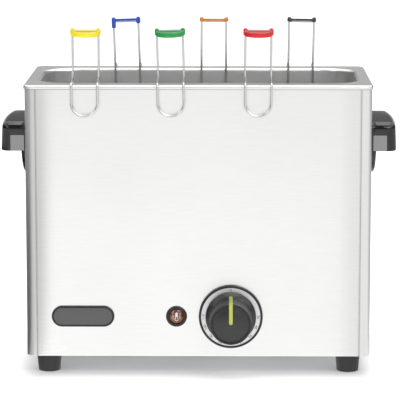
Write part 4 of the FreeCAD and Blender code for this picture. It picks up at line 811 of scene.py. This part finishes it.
def rim_shade_bead():
    """A thin dark grey bead between the rim's lip and the casing, a painted shadow line under the lip."""
    wrap = corners_of("body_wrap")
    across = wrap[1][0]
    front = corners_of("front_panel")[0][1]
    rear = wrap[1][1]
    rows = []
    for out, down in ((0.0, 0.0), (SHADE_BEAD_OUT, 0.0), (SHADE_BEAD_OUT, SHADE_BEAD_H * 0.6), (SHADE_BEAD_OUT * 0.6, SHADE_BEAD_H),
                      (0.0, SHADE_BEAD_H)):
        line = rounded([(0, front - out), (across + out, front - out), (across + out, rear + out),
                        (-across - out, rear + out), (-across - out, front - out), (0, front - out)],
                       [CORNER_R + out] * 4, 10)[:-1]
        rows.append(np.column_stack([line, np.full(len(line), RIM_TOP - RIM_LIP_H - down)]))
    # painted shade: a grey bead standing in for the shadow line under the lip
    piece("rim_shade_bead", "black_nylon", "casing", [(np.array(rows), True, True)],
          finish=moulded("grey_bead_painted_shade", "#5A5A5A", 0.6, 0.5, 0.01))


# ---- egg holders' grips ----

def grip_plate(lip):
    """The half-moon tab, drawn level with its top at zero: a lip rolled down in front, dished top, soft ends.

    At each place across, the section runs from the straight back to the curved front edge, and its thickness
    goes smoothly from GRIP_T to the lip's."""
    share = np.linspace(-1.0, 1.0, 49)
    ends = np.sqrt(np.clip(1 - np.abs(share) ** GRIP_END_POWER, 0.0, 1.0))
    front = -(GRIP_END_DEEP + (GRIP_DEEP - GRIP_END_DEEP) * (1 - share ** 2) ** GRIP_MOON_POWER)
    turn = np.linspace(0.0, 2 * math.pi, 40, endpoint=False)
    across = np.sign(np.cos(turn)) * np.abs(np.cos(turn)) ** GRIP_SECTION[0]
    up = np.sign(np.sin(turn)) * np.abs(np.sin(turn)) ** GRIP_SECTION[1]
    to_lip = np.clip((-across - LIP_FROM) / LIP_RUN, 0.0, 1.0)
    thick = GRIP_T + (lip - GRIP_T) * to_lip ** 2 * (3 - 2 * to_lip)
    middle = (front + GRIP_BACK) / 2
    depth = (GRIP_BACK - front) / 2
    y = middle[:, None] + depth[:, None] * across[None, :] * (0.55 + 0.45 * ends[:, None])
    level = (up - 1) / 2 * thick - GRIP_DISH * (1 - across ** 2) * np.maximum(up, 0.0)
    z = -GRIP_T / 2 + (level + GRIP_T / 2)[None, :] * ends[:, None]
    x = np.repeat((share * GRIP_W / 2)[:, None], len(turn), axis=1)
    return np.stack([x, y, z], axis=-1)


def grip(colour_name, across, row, lean, sockets):
    """One moulded grip: tab and sockets melted together, then leant and set on the two wire ends."""
    slope = math.radians(GRIP_SLOPE)
    plate = grip_plate(LIP_T[row])
    tilt = np.array([[1, 0, 0],
                     [0, math.cos(slope), -math.sin(slope)],
                     [0, math.sin(slope), math.cos(slope)]])
    plate = plate @ tilt.T + (0.0, 0.0, -GRIP_SINK)
    grids = [(plate, False, True)]
    for side in (-1, 1):
        length = sockets[0] if side == row else sockets[1]
        line = rounded([(0.0, -length), (SOCKET_R, -length), (SOCKET_R, 0.0), (0.0, 0.0)],
                       [SOCKET_EDGE_R, SOCKET_R - 0.1], 8)
        turn = np.linspace(0.0, 2 * math.pi, 32, endpoint=False)[None, :]
        socket = np.stack([side * WIRE_PITCH / 2 + line[:, 0:1] * np.cos(turn), line[:, 0:1] * np.sin(turn),
                           line[:, 1:2] + 0 * turn], axis=-1)
        grids.append((socket, False, True))
    placed = []
    angle = math.radians(lean)
    for grid, loop_rows, loop_columns in grids:
        spot = grid + (0.0, -UPRIGHT_Y, GRIP_Z)
        if row > 0:
            spot = spot * (-1.0, -1.0, 1.0)
        x = spot[..., 0] * math.cos(angle) + spot[..., 2] * math.sin(angle)
        z = spot[..., 2] * math.cos(angle) - spot[..., 0] * math.sin(angle)
        spot = np.stack([x + across, spot[..., 1] + MIDDLE_Y, z + RIM_TOP], axis=-1)
        placed.append((spot, loop_rows, loop_columns))
    name = "holder_" + colour_name
    made = piece(name + "_moulding", "grip_" + colour_name, name, placed, [name + "_grip"])
    melt = made.modifiers.new("melt", "REMESH")
    melt.mode = "VOXEL"
    melt.voxel_size = GRIP_VOXEL * MM
    melt.use_smooth_shade = True
    relax = made.modifiers.new("relax", "SMOOTH")
    relax.factor = 0.5
    relax.iterations = GRIP_RELAX


# ---- studio ----

def aim_camera():
    """The camera stands a little right of the middle and looks slightly down."""
    lens = bpy.data.cameras.new("camera")
    lens.lens = CAMERA_LENS
    camera = linked("camera", lens)
    camera.location = CAMERA_AT
    camera.rotation_euler = (math.radians(CAMERA_PITCH), 0.0, math.radians(CAMERA_YAW))
    SCENE.camera = camera


def room_tone(tree, way):
    """How bright the room and its floor look in a polished surface, by the direction from the boiler.

    The angle round the boiler, from straight in front, picks a grey from ROOM_TONES: lightest in front, dark
    flags at the left, middle grey behind to the right."""
    part = add(tree, "ShaderNodeSeparateXYZ", inputs={"Vector": way})
    front = add(tree, "ShaderNodeMath", {"operation": "MULTIPLY"}, {0: part.outputs["Y"], 1: -1.0})
    angle = add(tree, "ShaderNodeMath", {"operation": "ARCTAN2"}, {0: part.outputs["X"], 1: front.outputs[0]})
    share = add(tree, "ShaderNodeMapRange", inputs={
        "Value": angle.outputs[0], "From Min": -math.pi, "From Max": math.pi})
    ramp = add(tree, "ShaderNodeValToRGB", inputs={"Fac": share.outputs["Result"]})
    while len(ramp.color_ramp.elements) < len(ROOM_TONES):
        ramp.color_ramp.elements.new(0.5)
    for stop, (degrees, tone) in zip(ramp.color_ramp.elements, ROOM_TONES):
        stop.position = degrees / 360.0 + 0.5
        stop.color = (tone, tone, tone, 1.0)
    return ramp.outputs["Color"]


def soft_box(tree, strength, edges):
    """The strength inside all the given edges, each from nothing at its first value to full at its second."""
    level = strength
    for value, (nothing, full) in edges:
        edge = add(tree, "ShaderNodeMapRange", inputs={"Value": value, "From Min": nothing, "From Max": full})
        level = add(tree, "ShaderNodeMath", {"operation": "MULTIPLY"}, {
            0: edge.outputs["Result"], 1: level}).outputs[0]
    return level


def white_room():
    """The room is white to the camera, graded in reflections, and softer on matt surfaces."""
    world = bpy.data.worlds.new("white_room")
    world.use_nodes = True
    SCENE.world = world
    tree = world.node_tree
    tree.nodes.clear()
    path = add(tree, "ShaderNodeLightPath")
    way = add(tree, "ShaderNodeTexCoord").outputs["Generated"]
    clear = add(tree, "ShaderNodeMath", {"operation": "MAXIMUM"}, {
        0: path.outputs["Is Camera Ray"], 1: path.outputs["Is Transmission Ray"]})
    height = add(tree, "ShaderNodeSeparateXYZ", inputs={"Vector": way})
    fall = add(tree, "ShaderNodeMapRange", {"interpolation_type": "SMOOTHSTEP"}, {
        "Value": height.outputs["Z"], "From Min": ROOM_LOW, "From Max": ROOM_HIGH,
        "To Min": 1.0, "To Max": ROOM_DARK})
    tone = add(tree, "ShaderNodeMath", {"operation": "MULTIPLY"}, {
        0: room_tone(tree, way), 1: fall.outputs["Result"]})
    parts = height.outputs
    top = soft_box(tree, TOP_BOX, [(parts["Z"], TOP_BOX_LOW), (parts["Y"], TOP_BOX_FRONT)])
    side = soft_box(tree, SIDE_BOX, [
        (parts["Z"], SIDE_BOX_AT[:2]), (parts["Z"], SIDE_BOX_AT[:1:-1]), (parts["X"], SIDE_BOX_X[:2]),
        (parts["X"], SIDE_BOX_X[:1:-1]), (parts["Y"], SIDE_BOX_Y)])
    boxes = add(tree, "ShaderNodeMath", {"operation": "ADD"}, {0: top, 1: side})
    shown = add(tree, "ShaderNodeMath", {"operation": "ADD"}, {0: tone.outputs[0], 1: boxes.outputs[0]})
    on_gloss = add(tree, "ShaderNodeMix", inputs={
        "Factor": path.outputs["Is Glossy Ray"], "A": WORLD_ON_MATT, "B": shown.outputs[0]})
    strength = add(tree, "ShaderNodeMix", inputs={
        "Factor": clear.outputs[0], "A": on_gloss.outputs["Result"], "B": 1.0})
    light = add(tree, "ShaderNodeBackground", inputs={
        "Strength": strength.outputs["Result"], "Color": (1.0, 1.0, 1.0, 1.0)})
    add(tree, "ShaderNodeOutputWorld", inputs={"Surface": light.outputs["Background"]})


def soft_lamp(name, at, towards, size, power):
    """A soft box of the given width and height."""
    lamp = bpy.data.lights.new(name, "AREA")
    lamp.shape = "RECTANGLE"
    lamp.size, lamp.size_y = size
    lamp.energy = power
    made = linked(name, lamp)
    made.location = at
    heading = np.array(towards) - np.array(at)
    made.rotation_euler = (
        math.atan2(math.hypot(heading[0], heading[1]), -heading[2]), 0.0,
        math.atan2(heading[0], -heading[1]) + math.pi)


def floor():
    """A level white floor that keeps the casing's shadow, and takes the room's tone in reflections."""
    half = FLOOR_HALF
    corners = [(-half, -half, 0.0), (half, -half, 0.0), (half, half, 0.0), (-half, half, 0.0)]
    mesh = bpy.data.meshes.new("floor")
    mesh.from_pydata(corners, [], [(0, 1, 2, 3)])
    made, tree, paper, place = begin("studio_paper_white", Roughness=0.8, Base_Color=colour("#F0F0F0"),
                                     Emission_Color=(1.0, 1.0, 1.0, 1.0))
    size = add(tree, "ShaderNodeVectorMath", {"operation": "ABSOLUTE"}, {0: place})
    past = add(tree, "ShaderNodeVectorMath", {"operation": "SUBTRACT"}, {
        0: size.outputs["Vector"], 1: (*FLOOR_CORE, 0.0)})
    apart = add(tree, "ShaderNodeSeparateXYZ", inputs={"Vector": past.outputs["Vector"]})
    reach = add(tree, "ShaderNodeMath", {"operation": "MAXIMUM"}, {
        0: apart.outputs["X"], 1: apart.outputs["Y"]})
    beside = add(tree, "ShaderNodeVectorMath", {"operation": "SUBTRACT"}, {
        0: size.outputs["Vector"], 1: (FLOOR_STRIP, 0.0, 0.0)})
    kept = add(tree, "ShaderNodeVectorMath", {"operation": "MAXIMUM"}, {0: beside.outputs["Vector"]})
    sign = add(tree, "ShaderNodeVectorMath", {"operation": "SIGN"}, {0: place})
    seen = add(tree, "ShaderNodeVectorMath", {"operation": "MULTIPLY"}, {
        0: kept.outputs["Vector"], 1: sign.outputs["Vector"]})
    lift = add(tree, "ShaderNodeMapRange", {"interpolation_type": "SMOOTHERSTEP"}, {
        "Value": reach.outputs[0], "From Min": FLOOR_CLEAR[0], "From Max": FLOOR_CLEAR[1],
        "To Min": FLOOR_LIFT, "To Max": FLOOR_FAR_LIFT})
    give(tree, paper, {"Emission Strength": lift.outputs["Result"]})
    path = add(tree, "ShaderNodeLightPath")
    near = room_tone(tree, seen.outputs["Vector"])
    out = add(tree, "ShaderNodeVectorMath", {"operation": "LENGTH"}, {0: place})
    fade = add(tree, "ShaderNodeMapRange", {"interpolation_type": "SMOOTHSTEP"}, {
        "Value": out.outputs["Value"], "From Min": FAR_FLOOR[0], "From Max": FAR_FLOOR[1]})
    heading = add(tree, "ShaderNodeVectorMath", {"operation": "NORMALIZE"}, {0: place})
    behind = add(tree, "ShaderNodeSeparateXYZ", inputs={"Vector": heading.outputs["Vector"]})
    far = add(tree, "ShaderNodeMapRange", inputs={
        "Value": behind.outputs["Y"], "From Min": FAR_TURN[0], "From Max": FAR_TURN[1],
        "To Min": FAR_TONES[0], "To Max": FAR_TONES[1]})
    tone = add(tree, "ShaderNodeMix", inputs={
        "Factor": fade.outputs["Result"], "A": near, "B": far.outputs["Result"]})
    shown = add(tree, "ShaderNodeEmission", inputs={"Strength": tone.outputs["Result"]})
    mixed = add(tree, "ShaderNodeMixShader", inputs={
        "Fac": path.outputs["Is Glossy Ray"], 1: paper.outputs["BSDF"], 2: shown.outputs["Emission"]})
    give(tree, tree.nodes["Material Output"], {"Surface": mixed.outputs["Shader"]})
    mesh.materials.append(made)
    piece = linked("floor", mesh)


# ---- everything ----

aim_camera()
white_room()
floor()
for lamp in LAMPS:
    soft_lamp(*lamp)
SCENE.view_settings.view_transform = "Standard"
finish_frame()
knob_and_pointer()
badge()
pilot()
dial_numbers()
handle(-1, "handle_left")
handle(1, "handle_right")
rim_shade_bead()
for holder in HOLDERS:
    grip(*holder)
